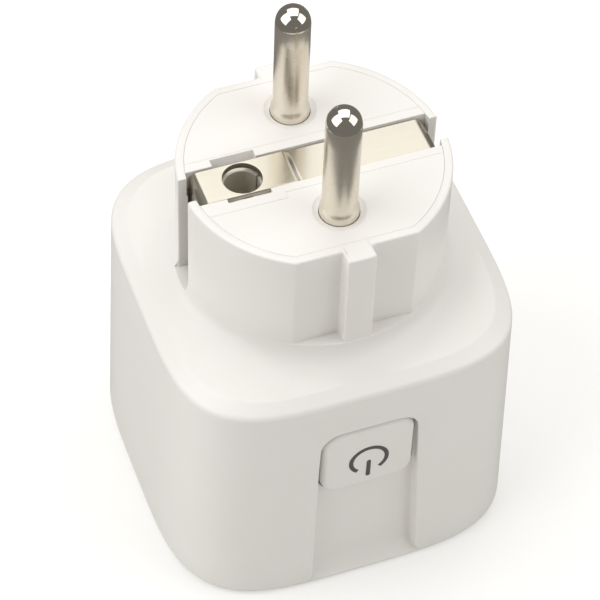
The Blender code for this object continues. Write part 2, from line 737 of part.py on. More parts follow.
def key_shapes():
    """Guide keys on both sides of the recess, in line with the pin holes."""
    pieces = []
    for side_x in (-1, 1):
        for side_y in (-1, 1):
            xs = sorted((side_x * KEY_INNER_HALF, side_x * KEY_OUTER_HALF))
            ys = sorted((side_y * KEY_FLAT, side_y * (RECESS_RADIUS + 0.5)))
            pieces.append(block(*xs, *ys, KEY_SETBACK, RECESS_DEPTH + 0.5))
    return pieces


def make_socket_cup():
    """Recess, guide keys, flange and board posts in one moulding."""
    flange = loft([flat_ring(cavity_outline(z, GAP), z) for z in (0.0, FLANGE_THICKNESS)])
    cup = make_object("socket_cup", flange, white_plastic("socket_cup_plastic"))
    fuse(cup, "cup_outer", extrude(circle(CUP_RADIUS, OUTLINE_POINTS), 1.0, CUP_TOP))
    recess = loft([flat_ring(circle(r, OUTLINE_POINTS), z) for r, z in
                   ((RECESS_RADIUS + 1.6, -1.0), (RECESS_RADIUS + 0.6, 0.0),
                    (RECESS_RADIUS, 0.6), (RECESS_RADIUS, RECESS_DEPTH))])
    cut(cup, "recess_cutter", recess)
    for number, shape in enumerate(key_shapes(), 1):
        fuse(cup, f"guide_key_{number}", shape)
    holes = [extrude(circle(SOCKET_HOLE_RADIUS, 28, (0.0, side * PIN_Y)),
                     RECESS_DEPTH - 1, CUP_TOP + 1) for side in (-1, 1)]
    cut(cup, "socket_hole_cutter", joined(holes))
    half = WINDOW_WIDTH / 2
    windows = []
    for side in (-1, 1):
        xs = sorted((side * (RECESS_RADIUS - 3), side * (CUP_RADIUS + 3)))
        windows.append(block(*xs, -half, half, WINDOW_LOW, WINDOW_HIGH))
    cut(cup, "clip_window_cutter", joined(windows))
    for number, side in enumerate((-1, 1), 1):
        place = (POST_X, side * POST_Y)
        fuse(cup, f"board_post_{number}",
             extrude(circle(POST_RADIUS, 20, place), CUP_TOP - 0.5, BOARD_LOW - GAP))
        cut(cup, f"board_post_hole_{number}",
            extrude(circle(BOARD_SCREW_RADIUS + GAP, 12, place),
                    BOARD_LOW - GAP - BOARD_SCREW_LENGTH, BOARD_LOW + 1))
    heads = []
    for place in corner_places():
        heads.append(extrude(circle(CASE_SCREW_HEAD + GAP, 20, place), -1, CASE_SCREW_SINK))
    cut(cup, "screw_head_cutter", joined(heads))
    shanks = [extrude(circle(CASE_SCREW_RADIUS + GAP, 16, place), 1.0, FLANGE_THICKNESS + 1)
              for place in corner_places()]
    cut(cup, "screw_shank_cutter", joined(shanks))


def make_shutter():
    """Two ramped blades on one slide; both pins together push it clear of the holes."""
    half = SHUTTER_HALF_WIDTH
    far = PIN_Y + SHUTTER_PAD_LENGTH / 2
    near = PIN_Y - SHUTTER_PAD_LENGTH / 2
    outline = [(-half, -far), (half, -far), (half, -near), (0.0, -near + 1.5),
               (0.0, near - 1.5), (half, near), (half, far), (-half, far)]
    shutter = make_object("shutter", extrude(outline, SHUTTER_LOW, SHUTTER_HIGH),
                          material("shutter_plastic", "E9E4D8", 0.45),
                          (0.0, 0.0, SHUTTER_LOW))
    ramp = [(-half - 1, SHUTTER_LOW - 1), (-half + 2.0, SHUTTER_LOW - 1),
            (-half + 0.7, SHUTTER_LOW + 0.8), (-half - 1, SHUTTER_LOW + 0.8)]
    ramps = [extrude(ramp, side * PIN_Y - far, side * PIN_Y + far, "xz") for side in (-1, 1)]
    cut(shutter, "ramp_cutter_1", ramps[0])
    cut(shutter, "ramp_cutter_2", ramps[1])


def make_shutter_spring():
    """Compression spring that keeps the shutter over the holes."""
    start = GAP + 0.1
    end = SPRING_STOP - 0.2
    level = SHUTTER_LOW + SHUTTER_THICKNESS / 2
    data = bpy.data.curves.new("shutter_spring", "CURVE")
    data.dimensions = "3D"
    data.bevel_depth = SPRING_WIRE / 2 * MM
    data.bevel_resolution = 1
    data.use_fill_caps = True
    line = data.splines.new("POLY")
    count = SPRING_TURNS * 8
    line.points.add(count)
    reach = end - start - SPRING_WIRE
    radius = min(SPRING_RADIUS, SHUTTER_THICKNESS / 2) - SPRING_WIRE / 2
    for i in range(count + 1):
        turn = 2 * math.pi * i / 8
        x = start + SPRING_WIRE / 2 + reach * i / count
        line.points[i].co = (x * MM, radius * math.cos(turn) * MM,
                             (level + radius * math.sin(turn)) * MM, 1.0)
    spring = bpy.data.objects.new("shutter_spring", data)
    data.materials.append(material("shutter_spring_steel", "B9BCC0", 0.3, 1.0))
    bpy.context.collection.objects.link(spring)


def make_shutter_cover():
    """Plate that keeps the shutter down, with a wall that the spring pushes against."""
    half = SHUTTER_COVER_HALF
    outline = rounded_rectangle(2 * half, 2 * half + 4, 3.0)
    cover = make_object("shutter_cover", extrude(outline, COVER_LOW, COVER_HIGH),
                        material("shutter_cover_plastic", "D9D6CF", 0.45))
    fuse(cover, "spring_stop",
         block(SPRING_STOP, half - 0.2, -3, 3, CUP_TOP + GAP, COVER_LOW + 0.5))
    holes = [extrude(circle(SOCKET_HOLE_RADIUS, 28, (0.0, side * PIN_Y)),
                     COVER_LOW - 1, COVER_HIGH + 1) for side in (-1, 1)]
    posts = [extrude(circle(POST_RADIUS + GAP, 20, (POST_X, side * POST_Y)),
                     COVER_LOW - 1, COVER_HIGH + 1) for side in (-1, 1)]
    cut(cover, "cover_hole_cutter", joined(holes + posts))


def make_contact(name, side):
    """Folded spring contact for one pin of the appliance's plug, with a solder tab."""
    middle = CONTACT_INNER_HALF + CONTACT_THICKNESS / 2
    top = CONTACT_HIGH - CONTACT_THICKNESS / 2
    bend = 1.0
    right = [(middle + CONTACT_MOUTH, CONTACT_LOW), (middle - 0.35, CONTACT_LOW + 3.2),
             (middle, CONTACT_LOW + 6.0)]
    right += arc((middle - bend, top - bend), bend, 0, 90, 3)
    path = right + [(-x, z) for x, z in reversed(right)]
    contact = make_object(name, strip(path, CONTACT_THICKNESS, CONTACT_WIDTH, "xz", side * PIN_Y),
                          brass(name + "_brass"))
    y = side * PIN_Y
    fuse(contact, name + "_tab",
         block(-1.5, 1.5, y - 0.4, y + 0.4, top, BOARD_HIGH + 0.9))


def make_earth_bracket():
    """One bent bracket: a bar behind the cup and a bowed earth clip in each window."""
    level = (BRACKET_LOW + BRACKET_HIGH) / 2
    leg = CUP_RADIUS + BRACKET_LEG_GAP + BRACKET_THICKNESS / 2
    bend = 1.4
    tip = RECESS_RADIUS - CLIP_REACH + BRACKET_THICKNESS / 2
    middle = (WINDOW_LOW + WINDOW_HIGH) / 2
    right = [(leg - 0.9, WINDOW_LOW + 0.9), (tip + 0.5, middle - 2.6), (tip, middle - 0.6),
             (tip + 0.4, middle + 1.2), (leg, WINDOW_HIGH - 0.9)]
    right += arc((leg - bend, level - bend), bend, 0, 90, 4)
    path = right + [(-x, z) for x, z in reversed(right)]
    make_object("socket_earth_bracket", strip(path, BRACKET_THICKNESS, BRACKET_WIDTH),
                brass("earth_bracket_brass"))


# ---------------------------------------------------------------- boards and components

def make_power_board():
    board = make_object("power_board", extrude(circle(BOARD_RADIUS, 48), BOARD_LOW, BOARD_HIGH),
                        circuit_board("power_board_laminate"))
    holes = [block(-1.8, 1.8, side * PIN_Y - 0.7, side * PIN_Y + 0.7, BOARD_LOW - 1, BOARD_HIGH + 1)
             for side in (-1, 1)]
    x = -EARTH_HOLE_OFFSET
    half = RISER_WIDTH / 2 + GAP
    holes.append(block(x - 1, x + 1, -half, half, BOARD_LOW - 1, BOARD_HIGH + 1))
    holes += [extrude(circle(BOARD_SCREW_RADIUS + GAP, 12, (POST_X, side * POST_Y)),
                      BOARD_LOW - 1, BOARD_HIGH + 1) for side in (-1, 1)]
    cut(board, "board_hole_cutter", joined(holes))


def make_control_board():
    """Upright board behind the button, as wide as the ceiling lets it be."""
    share = (CONTROL_FRONT / CEILING_HALF) ** CEILING_EXPONENT
    half = CEILING_HALF * (1 - share) ** (1 / CEILING_EXPONENT) - CONTROL_BOARD_MARGIN
    shape = block(-half, half, -CONTROL_FRONT, -CONTROL_BACK, CONTROL_LOW, CONTROL_HIGH)
    make_object("control_board", shape, circuit_board("control_board_laminate"), smooth=False)


def make_relay():
    shape = box_at(RELAY_SIZE, RELAY_X, 0.0, PARTS_LOW + RELAY_SIZE[2] / 2)
    make_object("relay", bevelled(shape, 0.5), material("relay_case", "1D3F73", 0.35))


def make_can(name, radius, height, place):
    """Electrolytic capacitor, with the rolled groove near its foot."""
    low = PARTS_LOW
    profile = [(radius - 0.3, low), (radius, low + 0.3), (radius, low + 1.4),
               (radius - 0.35, low + 1.8), (radius, low + 2.2), (radius, low + height - 0.5),
               (radius - 0.5, low + height)]
    make_object(name, turned(profile, 24, "z", (*place, 0.0)), dark_plastic(name + "_sleeve"))


def make_capacitors():
    make_can("bulk_capacitor", BULK_RADIUS, BULK_HEIGHT, BULK_PLACE)
    make_can("output_capacitor", OUTPUT_RADIUS, OUTPUT_HEIGHT, OUTPUT_PLACE)
    shape = box_at(FILM_SIZE, *FILM_PLACE, PARTS_LOW + FILM_SIZE[2] / 2)
    make_object("film_capacitor", bevelled(shape, 0.4),
                material("film_capacitor_case", "C9A227", 0.4))


def make_varistor():
    """Coated disc that stands on its edge."""
    radius = VARISTOR_RADIUS
    half = VARISTOR_THICKNESS / 2
    profile = [(radius - 0.9, -half), (radius - 0.2, -half + 0.4), (radius, 0.0),
               (radius - 0.2, half - 0.4), (radius - 0.9, half)]
    shape = turned(profile, 24, "y", (*VARISTOR_PLACE, PARTS_LOW + radius))
    make_object("varistor", shape, material("varistor_coating", "2B5FA8", 0.35))


def make_fuse_resistor():
    """Fusible resistor lying under the board, with its two swollen ends."""
    radius = FUSE_RADIUS
    half = FUSE_LENGTH / 2
    right = [(radius - 0.25, half - 1.8), (radius, half - 1.4), (radius, half - 0.4),
             (radius - 0.4, half)]
    profile = [(r, -x) for r, x in reversed(right)] + right
    shape = turned(profile, 20, "x", (*FUSE_PLACE, BOARD_LOW - GAP - radius))
    make_object("fuse_resistor", shape, material("fuse_resistor_body", "4E8F5A", 0.5))


def make_power_chips():
    high = BOARD_LOW - GAP
    shape = box_at(CONVERTER_SIZE, *CONVERTER_PLACE, high - CONVERTER_SIZE[2] / 2)
    make_object("power_converter_chip", bevelled(shape, 0.2), dark_plastic("converter_chip_resin"))
    shape = box_at(BRIDGE_SIZE, *BRIDGE_PLACE, high - BRIDGE_SIZE[2] / 2)
    make_object("bridge_rectifier", bevelled(shape, 0.2), dark_plastic("bridge_rectifier_resin"))


def make_power_inductor():
    """Drum core with its winding, under the board."""
    high = BOARD_LOW - GAP
    low = high - INDUCTOR_HEIGHT
    radius = INDUCTOR_RADIUS
    waist = radius - 0.6
    profile = [(radius, low), (radius, low + 0.8), (waist, low + 1.0), (waist, high - 1.0),
               (radius, high - 0.8), (radius, high)]
    make_object("power_inductor", turned(profile, 24, "z", (INDUCTOR_X, 0.0, 0.0)),
                material("inductor_ferrite", "3A3532", 0.6))


def make_radio_module():
    """Wireless module on the back of the control board, with its shield can."""
    back = -CONTROL_BACK + GAP
    middle = CONTROL_LOW + 0.6 + RADIO_SIZE[2] / 2
    board = box_at(RADIO_SIZE, RADIO_X, back + RADIO_SIZE[1] / 2, middle)
    make_object("radio_module", board, material("radio_module_laminate", "15314F", 0.45),
                smooth=False)
    can = back + RADIO_SIZE[1] + GAP
    shield = box_at(SHIELD_SIZE, SHIELD_X, can + SHIELD_SIZE[1] / 2, middle)
    make_object("radio_shield", bevelled(shield, 0.3),
                material("radio_shield_tin", "BFC1C4", 0.3, 1.0))


def make_board_header():
    """Pin strip that joins the control board to the power board above it."""
    back = -CONTROL_BACK + GAP
    shape = box_at(HEADER_SIZE, HEADER_X, back + HEADER_SIZE[1] / 2,
                   BOARD_LOW - GAP - HEADER_SIZE[2] / 2)
    make_object("board_header", bevelled(shape, 0.2), dark_plastic("board_header_plastic"))


def make_indicator():
    """Lamp on the control board that shines through the button's rim."""
    front = -CONTROL_FRONT - GAP
    shape = box_at(LED_SIZE, LED_X, front - LED_SIZE[1] / 2, BUTTON_CENTRE)
    make_object("indicator_led", bevelled(shape, 0.1),
                material("indicator_led_lens", "E8E6DA", 0.2))


def make_busbar(name, side):
    """Flat bar from a pin's tail down to the power board."""
    top = PIN_TAIL_LOW - GAP - BUSBAR_THICKNESS / 2
    reach = BUSBAR_REACH
    path = [(-1.4, top), (reach - 0.8, top), (reach, top - 0.8), (reach, PARTS_LOW)]
    shape = strip(path, BUSBAR_THICKNESS, BUSBAR_WIDTH, "xz", side * PIN_Y)
    make_object(name, shape, brass(name + "_brass"))


def make_screw(name, place, radius, head, length, low, upward):
    """Self-tapping screw with a flat head and thread ridges; its head is at the low end
    when it points upward."""
    height = head * 0.5
    pitch = 1.5
    ridge = radius
    core = radius * 0.72
    profile = [(head * 0.86, 0.0), (head, height * 0.3), (head, height * 0.6), (core, height)]
    z = height + 0.4
    while z + pitch < length:
        profile += [(core, z), (ridge, z + pitch * 0.35), (core, z + pitch * 0.7)]
        z += pitch
    profile += [(core, length - 0.6), (0.25, length)]
    if not upward:
        profile = [(r, -z) for r, z in reversed(profile)]
    screw = make_object(name, turned(profile, 12, "z", (*place, low)),
                        material(name + "_steel", "A9ABAE", 0.3, 1.0))
    arm = head * 0.6
    sign = 1 if upward else -1
    zs = sorted((low - sign * 0.5, low + sign * height * 0.6))
    x, y = place
    cut(screw, name + "_slot_a", block(x - arm, x + arm, y - 0.22, y + 0.22, *zs))
    cut(screw, name + "_slot_b", block(x - 0.22, x + 0.22, y - arm, y + arm, *zs))


def make_screws():
    for number, place in enumerate(corner_places(), 1):
        make_screw(f"case_screw_{number}", place, CASE_SCREW_RADIUS, CASE_SCREW_HEAD,
                   CASE_SCREW_LENGTH, CASE_SCREW_SINK - GAP - CASE_SCREW_HEAD * 0.5, True)
    for number, side in enumerate((-1, 1), 1):
        head_height = BOARD_SCREW_HEAD * 0.5
        make_screw(f"board_screw_{number}", (POST_X, side * POST_Y), BOARD_SCREW_RADIUS,
                   BOARD_SCREW_HEAD, BOARD_SCREW_LENGTH, BOARD_HIGH + GAP + head_height, False)


def build():
    make_housing()
    make_pin_carrier()
    make_pin("live_pin", -1)
    make_pin("neutral_pin", 1)
    make_earth_strap()
    make_earth_sleeve()
    make_earth_riser()
    make_button()
    make_tact_switch()
    make_socket_cup()
    make_shutter()
    make_shutter_spring()
    make_shutter_cover()
    make_contact("live_contact", -1)
    make_contact("neutral_contact", 1)
    make_earth_bracket()
    make_power_board()
    make_control_board()
    make_relay()
    make_capacitors()
    make_varistor()
    make_power_inductor()
    make_fuse_resistor()
    make_power_chips()
    make_radio_module()
    make_board_header()
    make_indicator()
    make_busbar("live_busbar", -1)
    make_busbar("neutral_busbar", 1)
    make_screws()


build()
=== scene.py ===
from math import atan2, cos, hypot, pi, radians, sin, sqrt, tan

import bmesh
import bpy
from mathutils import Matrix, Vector


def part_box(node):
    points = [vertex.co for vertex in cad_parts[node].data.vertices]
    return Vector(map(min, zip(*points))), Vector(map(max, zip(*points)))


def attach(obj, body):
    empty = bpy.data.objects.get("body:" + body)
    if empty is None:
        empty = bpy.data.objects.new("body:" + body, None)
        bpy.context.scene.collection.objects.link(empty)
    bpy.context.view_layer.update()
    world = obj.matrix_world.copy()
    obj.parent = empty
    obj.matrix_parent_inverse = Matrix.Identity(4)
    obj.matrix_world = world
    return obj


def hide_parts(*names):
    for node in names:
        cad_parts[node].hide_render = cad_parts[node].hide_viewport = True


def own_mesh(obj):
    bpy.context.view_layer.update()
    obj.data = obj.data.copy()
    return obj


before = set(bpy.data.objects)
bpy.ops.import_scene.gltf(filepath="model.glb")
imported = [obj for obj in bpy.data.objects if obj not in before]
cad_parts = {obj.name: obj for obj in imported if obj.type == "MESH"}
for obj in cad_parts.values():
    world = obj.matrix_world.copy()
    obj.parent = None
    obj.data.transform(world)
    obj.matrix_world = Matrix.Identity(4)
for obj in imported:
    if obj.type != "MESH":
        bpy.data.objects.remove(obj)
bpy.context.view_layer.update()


# ------------------------------------------------------------------------------ housing
# The body and the plug's stem are one shell, injection moulded in white ABS and polished.
# Its four keying notches are moulded in, the thumb channel runs down to the socket face,
# and four screws from the socket end hold it to the socket moulding.

MM = 0.001


def span(node):
    """Lowest and highest corner of a node of the frame, in millimetres."""
    low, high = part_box(node)
    return low / MM, high / MM


housing_high = span("housing")[1]
screw_low, screw_high = span("case_screw_1")

FACE = housing_high.z               # level of the plug face
BODY_HALF_BOTTOM = housing_high.x
BODY_HALF_TOP = 24.7
BODY_HEIGHT = 39.5
BODY_SQUARE_BOTTOM = 3.9            # exponent of the rounded-square outline
BODY_SQUARE_TOP = 4.2
BODY_WALL = 2.0
BOTTOM_ROUND = 0.9
SHOULDER_ROUND = 1.0
SHOULDER_DROP = 0.15                # how far the shoulder's corner lies under the full height
SHOULDER_HALF = 22.6                # where the sloping band ends
SHOULDER_SLOPE = radians(28)
STEM_RADIUS = 18.5
STEM_WALL = 2.2
BORE_END = BODY_HEIGHT + 1.3        # where the stem's bore opens into the body
CEILING = BODY_HEIGHT - BODY_WALL
CEILING_HALF = BODY_HALF_TOP - 3.3
CEILING_ROUND = 0.6
FLARE_RADIUS = 3.6
FLARE_TOP = 44.9
NOTCH_FLAT = 16.45
NOTCH_RIB_HALF = 2.0
NOTCH_FLOOR = FACE - 16.4
RIM_WALL = 1.2
RIM_FLOOR = FACE - 3.5
RIM_ROUND = 0.3
SLOT_FLOOR = FACE - 17.5
SLOT_HALF = 2.0
SLOT_LIP = 0.25
POCKET_HALF = 3.2
POCKET_IN = 13.2
POCKET_OUT = 17.0
BUTTON_MIDDLE = 26.0
BUTTON_HALF_WIDTH = 6.7
BUTTON_HALF_HEIGHT = 6.3
BUTTON_CORNER = 2.6
BUTTON_GAP = 0.3
CHANNEL_HALF = 7.1
CHANNEL_TAPER = 0.8
CHANNEL_DEPTH = 1.5
CHANNEL_SKIN = 1.6
CHANNEL_FLARE = 2.2                 # below this level the walls curl outwards
CHANNEL_RUNOUT = 0.7                # and at this one the floor has run out to the body's face
CHANNEL_RISE = 3.8                  # height over which the floor sinks to its full depth
CHANNEL_TOP = BUTTON_MIDDLE + BUTTON_HALF_HEIGHT + BUTTON_GAP
CHANNEL_FOOT = 0.5                  # radius along the foot of each wall
CHANNEL_LIP = 0.25                  # radius along the upper edge of each wall
SECTOR = radians(32)           # half angle of the part of the outline with notches
SIDE_STEPS = 84
SCREW_PLACE = (screw_low.x + screw_high.x) / 2
SCREW_BOSS = 3.2
SCREW_BORE = 1.5
BOSS_LOW_END = 2.8
BOSS_HIGH_END = 13.8

WHITE = "E8E6E2"
WHITE_DRIFT = "E4E1DC"
DRIFT_SCALE = 60.0                  # one wave of tone in about 17 mm
GRAIN_MM = 0.33


def linear(code):
    """A linear colour from a hex sRGB one."""
    found = []
    for i in (0, 2, 4):
        value = int(code[i:i + 2], 16) / 255
        found.append(value / 12.92 if value <= 0.04045 else ((value + 0.055) / 1.055) ** 2.4)
    return (*found, 1.0)


def add_node(tree, kind, settings=None, **links):
    """A node with its properties and input values set and its inputs linked."""
    node = tree.nodes.new(kind)
    for key, value in (settings or {}).items():
        if isinstance(key, int) or key in node.inputs:
            node.inputs[key].default_value = value
        else:
            setattr(node, key, value)
    for key, source in links.items():
        target = node.inputs[int(key[1:])] if key[0] == "_" else node.inputs[key]
        tree.links.new(source, target)
    return node


def new_material(name, colour, roughness, metallic=0.0):
    """A material with its shader, and the object's own coordinates to draw patterns on."""
    found = bpy.data.materials.new(name)
    found.use_nodes = True
    tree = found.node_tree
    shader = tree.nodes["Principled BSDF"]
    shader.inputs["Base Color"].default_value = linear(colour)
    shader.inputs["Roughness"].default_value = roughness
    shader.inputs["Metallic"].default_value = metallic
    place = add_node(tree, "ShaderNodeTexCoord").outputs["Object"]
    return found, tree, shader, place


def tint(tree, shader, share, low, high):
    """Let the colour move between two tones as a share goes from 0 to 1."""
    tone = add_node(tree, "ShaderNodeMix", {"data_type": "RGBA", 6: low, 7: high}, Factor=share)
    tree.links.new(tone.outputs[2], shader.inputs["Base Color"])


def roughen(tree, shader, grain, low, high, strength, depth_mm):
    """Let a grain move the gloss between two roughnesses and raise the surface."""
    gloss = add_node(tree, "ShaderNodeMapRange", {3: low, 4: high}, Value=grain)
    tree.links.new(gloss.outputs["Result"], shader.inputs["Roughness"])
    bump = add_node(tree, "ShaderNodeBump", {"Strength": strength, "Distance": depth_mm * MM}, Height=grain)
    tree.links.new(bump.outputs["Normal"], shader.inputs["Normal"])


def moulded_white(name, colour, roughness, grain):
    """Injection-moulded ABS: a satin skin from a finely eroded tool, a warm white with a
    faint drift of tone where the melt flowed, and a grain about a third of a millimetre."""
    found, tree, shader, place = new_material(name, colour, roughness)
    shader.inputs["IOR"].default_value = 1.53
    drift = add_node(tree, "ShaderNodeTexNoise", {"Scale": DRIFT_SCALE, "Detail": 2.0}, Vector=place)
    tint(tree, shader, drift.outputs["Fac"], linear(colour), linear(WHITE_DRIFT))
    skin = add_node(tree, "ShaderNodeTexNoise", {"Scale": 1 / (GRAIN_MM * MM), "Detail": 3.0}, Vector=place)
    roughen(tree, shader, skin.outputs["Fac"], roughness - 0.04, roughness + 0.04, grain, 0.02)
    return found


def loft(rings, closed=False, shape=None):
    """Skin a list of equal rings, in a new shape or a given one; the two ends are capped,
    or meet when closed."""
    shape = shape or bmesh.new()
    rows = [[shape.verts.new(point) for point in ring] for ring in rings]
    count = len(rows[0])
    for i in range(len(rows) if closed else len(rows) - 1):
        low = rows[i]
        high = rows[(i + 1) % len(rows)]
        for j in range(count):
            k = (j + 1) % count
            shape.faces.new((low[j], low[k], high[k], high[j]))
    if not closed:
        shape.faces.new(list(reversed(rows[0])))
        shape.faces.new(rows[-1])
    return shape


def make_piece(name, shape, finish=None, sharp=30):
    """An object at the origin from a shape in millimetres."""
    bmesh.ops.recalc_face_normals(shape, faces=shape.faces)
    bmesh.ops.scale(shape, verts=shape.verts, vec=(MM, MM, MM))
    mesh = bpy.data.meshes.new(name)
    shape.to_mesh(mesh)
    shape.free()
    mesh.shade_smooth()
    mesh.set_sharp_from_angle(angle=radians(sharp))
    if finish is not None:
        mesh.materials.append(finish)
    piece = bpy.data.objects.new(name, mesh)
    bpy.context.collection.objects.link(piece)
    return piece


def settle(piece, sharp=30):
    """Turn a piece's modifiers into a plain mesh."""
    bpy.context.view_layer.update()
    evaluated = piece.evaluated_get(bpy.context.evaluated_depsgraph_get())
    old = piece.data
    mesh = bpy.data.meshes.new_from_object(evaluated)
    piece.modifiers.clear()
    piece.data = mesh
    bpy.data.meshes.remove(old)
    mesh.name = piece.name
    if sharp is not None:
        mesh.shade_smooth()
        mesh.set_sharp_from_angle(angle=radians(sharp))
    return piece


def even_normals(piece):
    """Weight a finished piece's normals by face area, so its flats shade flat beside rounds."""
    modifier = piece.modifiers.new("even", "WEIGHTED_NORMAL")
    modifier.keep_sharp = True
    return settle(piece, None)


def carve(piece, shapes, operation="DIFFERENCE", sharp=30):
    """Cut shapes out of a piece one after another, or join them on."""
    tools = []
    for shape in shapes:
        tool = make_piece("tool", shape)
        modifier = piece.modifiers.new("carve", "BOOLEAN")
        modifier.object = tool
        modifier.operation = operation
        modifier.solver = "EXACT"
        tools.append(tool)
    settle(piece, sharp)
    for tool in tools:
        mesh = tool.data
        bpy.data.objects.remove(tool)
        bpy.data.meshes.remove(mesh)
    return piece


def lerp(a, b, share):
    return a + (b - a) * share


def steps(start, end, count):
    """Evenly spaced values with both ends."""
    return [lerp(start, end, i / (count - 1)) for i in range(count)]


def body_half(z):
    return lerp(BODY_HALF_BOTTOM, BODY_HALF_TOP, z / BODY_HEIGHT)


def body_square(z):
    return lerp(BODY_SQUARE_BOTTOM, BODY_SQUARE_TOP, z / BODY_HEIGHT)


def reach(turn, half, square):
    """Distance from the axis to a rounded square, or to a circle when square is 2."""
    total = abs(cos(turn)) ** square + abs(sin(turn)) ** square
    return half / total ** (1 / square)


def corner_arc(middle, radius, start, end, count):
    """Points of an arc, with its angles in degrees."""
    return [(middle[0] + radius * cos(radians(a)), middle[1] + radius * sin(radians(a)))
            for a in steps(start, end, count)]


def notched_half(radius, flat, rib):
    """Half of the stem's front outline, from the rib's middle out to the round part."""
    outer = 0.25
    inner = 0.3
    top = sqrt(radius ** 2 - rib ** 2)
    found = [(0.0, radius), (rib * 0.45, radius - 0.02), (rib - outer - 0.05, top + 0.02)]
    found += corner_arc((rib - outer, top - outer), outer, 80, 5, 4)
    found += [(rib, top - outer - 0.3), (rib, flat + inner + 0.25)]
    found += corner_arc((rib + inner, flat + inner), inner, 180, 270, 4)
    edge = sqrt(radius ** 2 - flat ** 2)
    found += [(u, flat) for u in steps(rib + inner + 0.4, edge - 0.25, 5)]
    corner = atan2(edge, flat)
    found.append((edge - 0.06, flat + 0.01))
    found += [(radius * sin(a), radius * cos(a)) for a in steps(corner + 0.012, SECTOR, 6)]
    return found


SECTOR_TURNS = [atan2(u, v) for u, v in notched_half(STEM_RADIUS, NOTCH_FLAT, NOTCH_RIB_HALF)]
SIDE_TURNS = steps(SECTOR, pi - SECTOR, SIDE_STEPS)[1:-1]


def sector_points(reach_at):
    return [(reach_at(t) * sin(t), reach_at(t) * cos(t)) for t in SECTOR_TURNS]


def whole_outline(reach_at, half_points=None):
    """A closed outline from the reach at each turn; half a sector may have its own points."""
    half_points = half_points or sector_points(reach_at)
    right = [(u, -v) for u, v in half_points]
    right += [(reach_at(t) * sin(t), -reach_at(t) * cos(t)) for t in SIDE_TURNS]
    right += [(u, v) for u, v in reversed(half_points)]
    return right + [(-x, y) for x, y in reversed(right[1:-1])]


def plain_outline(half, square):
    return whole_outline(lambda turn: reach(turn - pi / 2, half, square))


def notched_outline(inset, blend=1.0, radius=STEM_RADIUS):
    """The stem's outline; blend 0 is the plain circle and 1 has the notches at full depth."""
    cut_points = notched_half(STEM_RADIUS - inset, NOTCH_FLAT - inset, NOTCH_RIB_HALF - inset)
    points = [(lerp(a[0], b[0], blend), lerp(a[1], b[1], blend))
              for a, b in zip(sector_points(lambda turn: radius), cut_points)]
    return whole_outline(lambda turn: lerp(radius, STEM_RADIUS - inset, blend), points)


def keyed_outline(radius, flat):
    """The bore and the rim are round with a flat behind each pair of notches."""
    return whole_outline(lambda turn: min(radius, flat / max(abs(cos(turn)), 0.001)))


def level_ring(outline, z):
    return [(x, y, z) for x, y in outline]


def rounded_edge(radius, count, start=0):
    """Two offsets for each point along a rounded edge: one grows to radius, one falls from it."""
    turns = [radians(a) for a in steps(start, 90, count)]
    return [(radius * (1 - cos(a)), radius * (1 - sin(a))) for a in turns]


def cavity_ring(z, inset=0.0):
    """Inside of the wall, with a flat behind the thumb channel."""
    half = body_half(z) - BODY_WALL - inset
    limit = body_half(z) - CHANNEL_DEPTH - CHANNEL_SKIN - inset
    return level_ring([(x, max(-limit, y)) for x, y in plain_outline(half, body_square(z))], z)


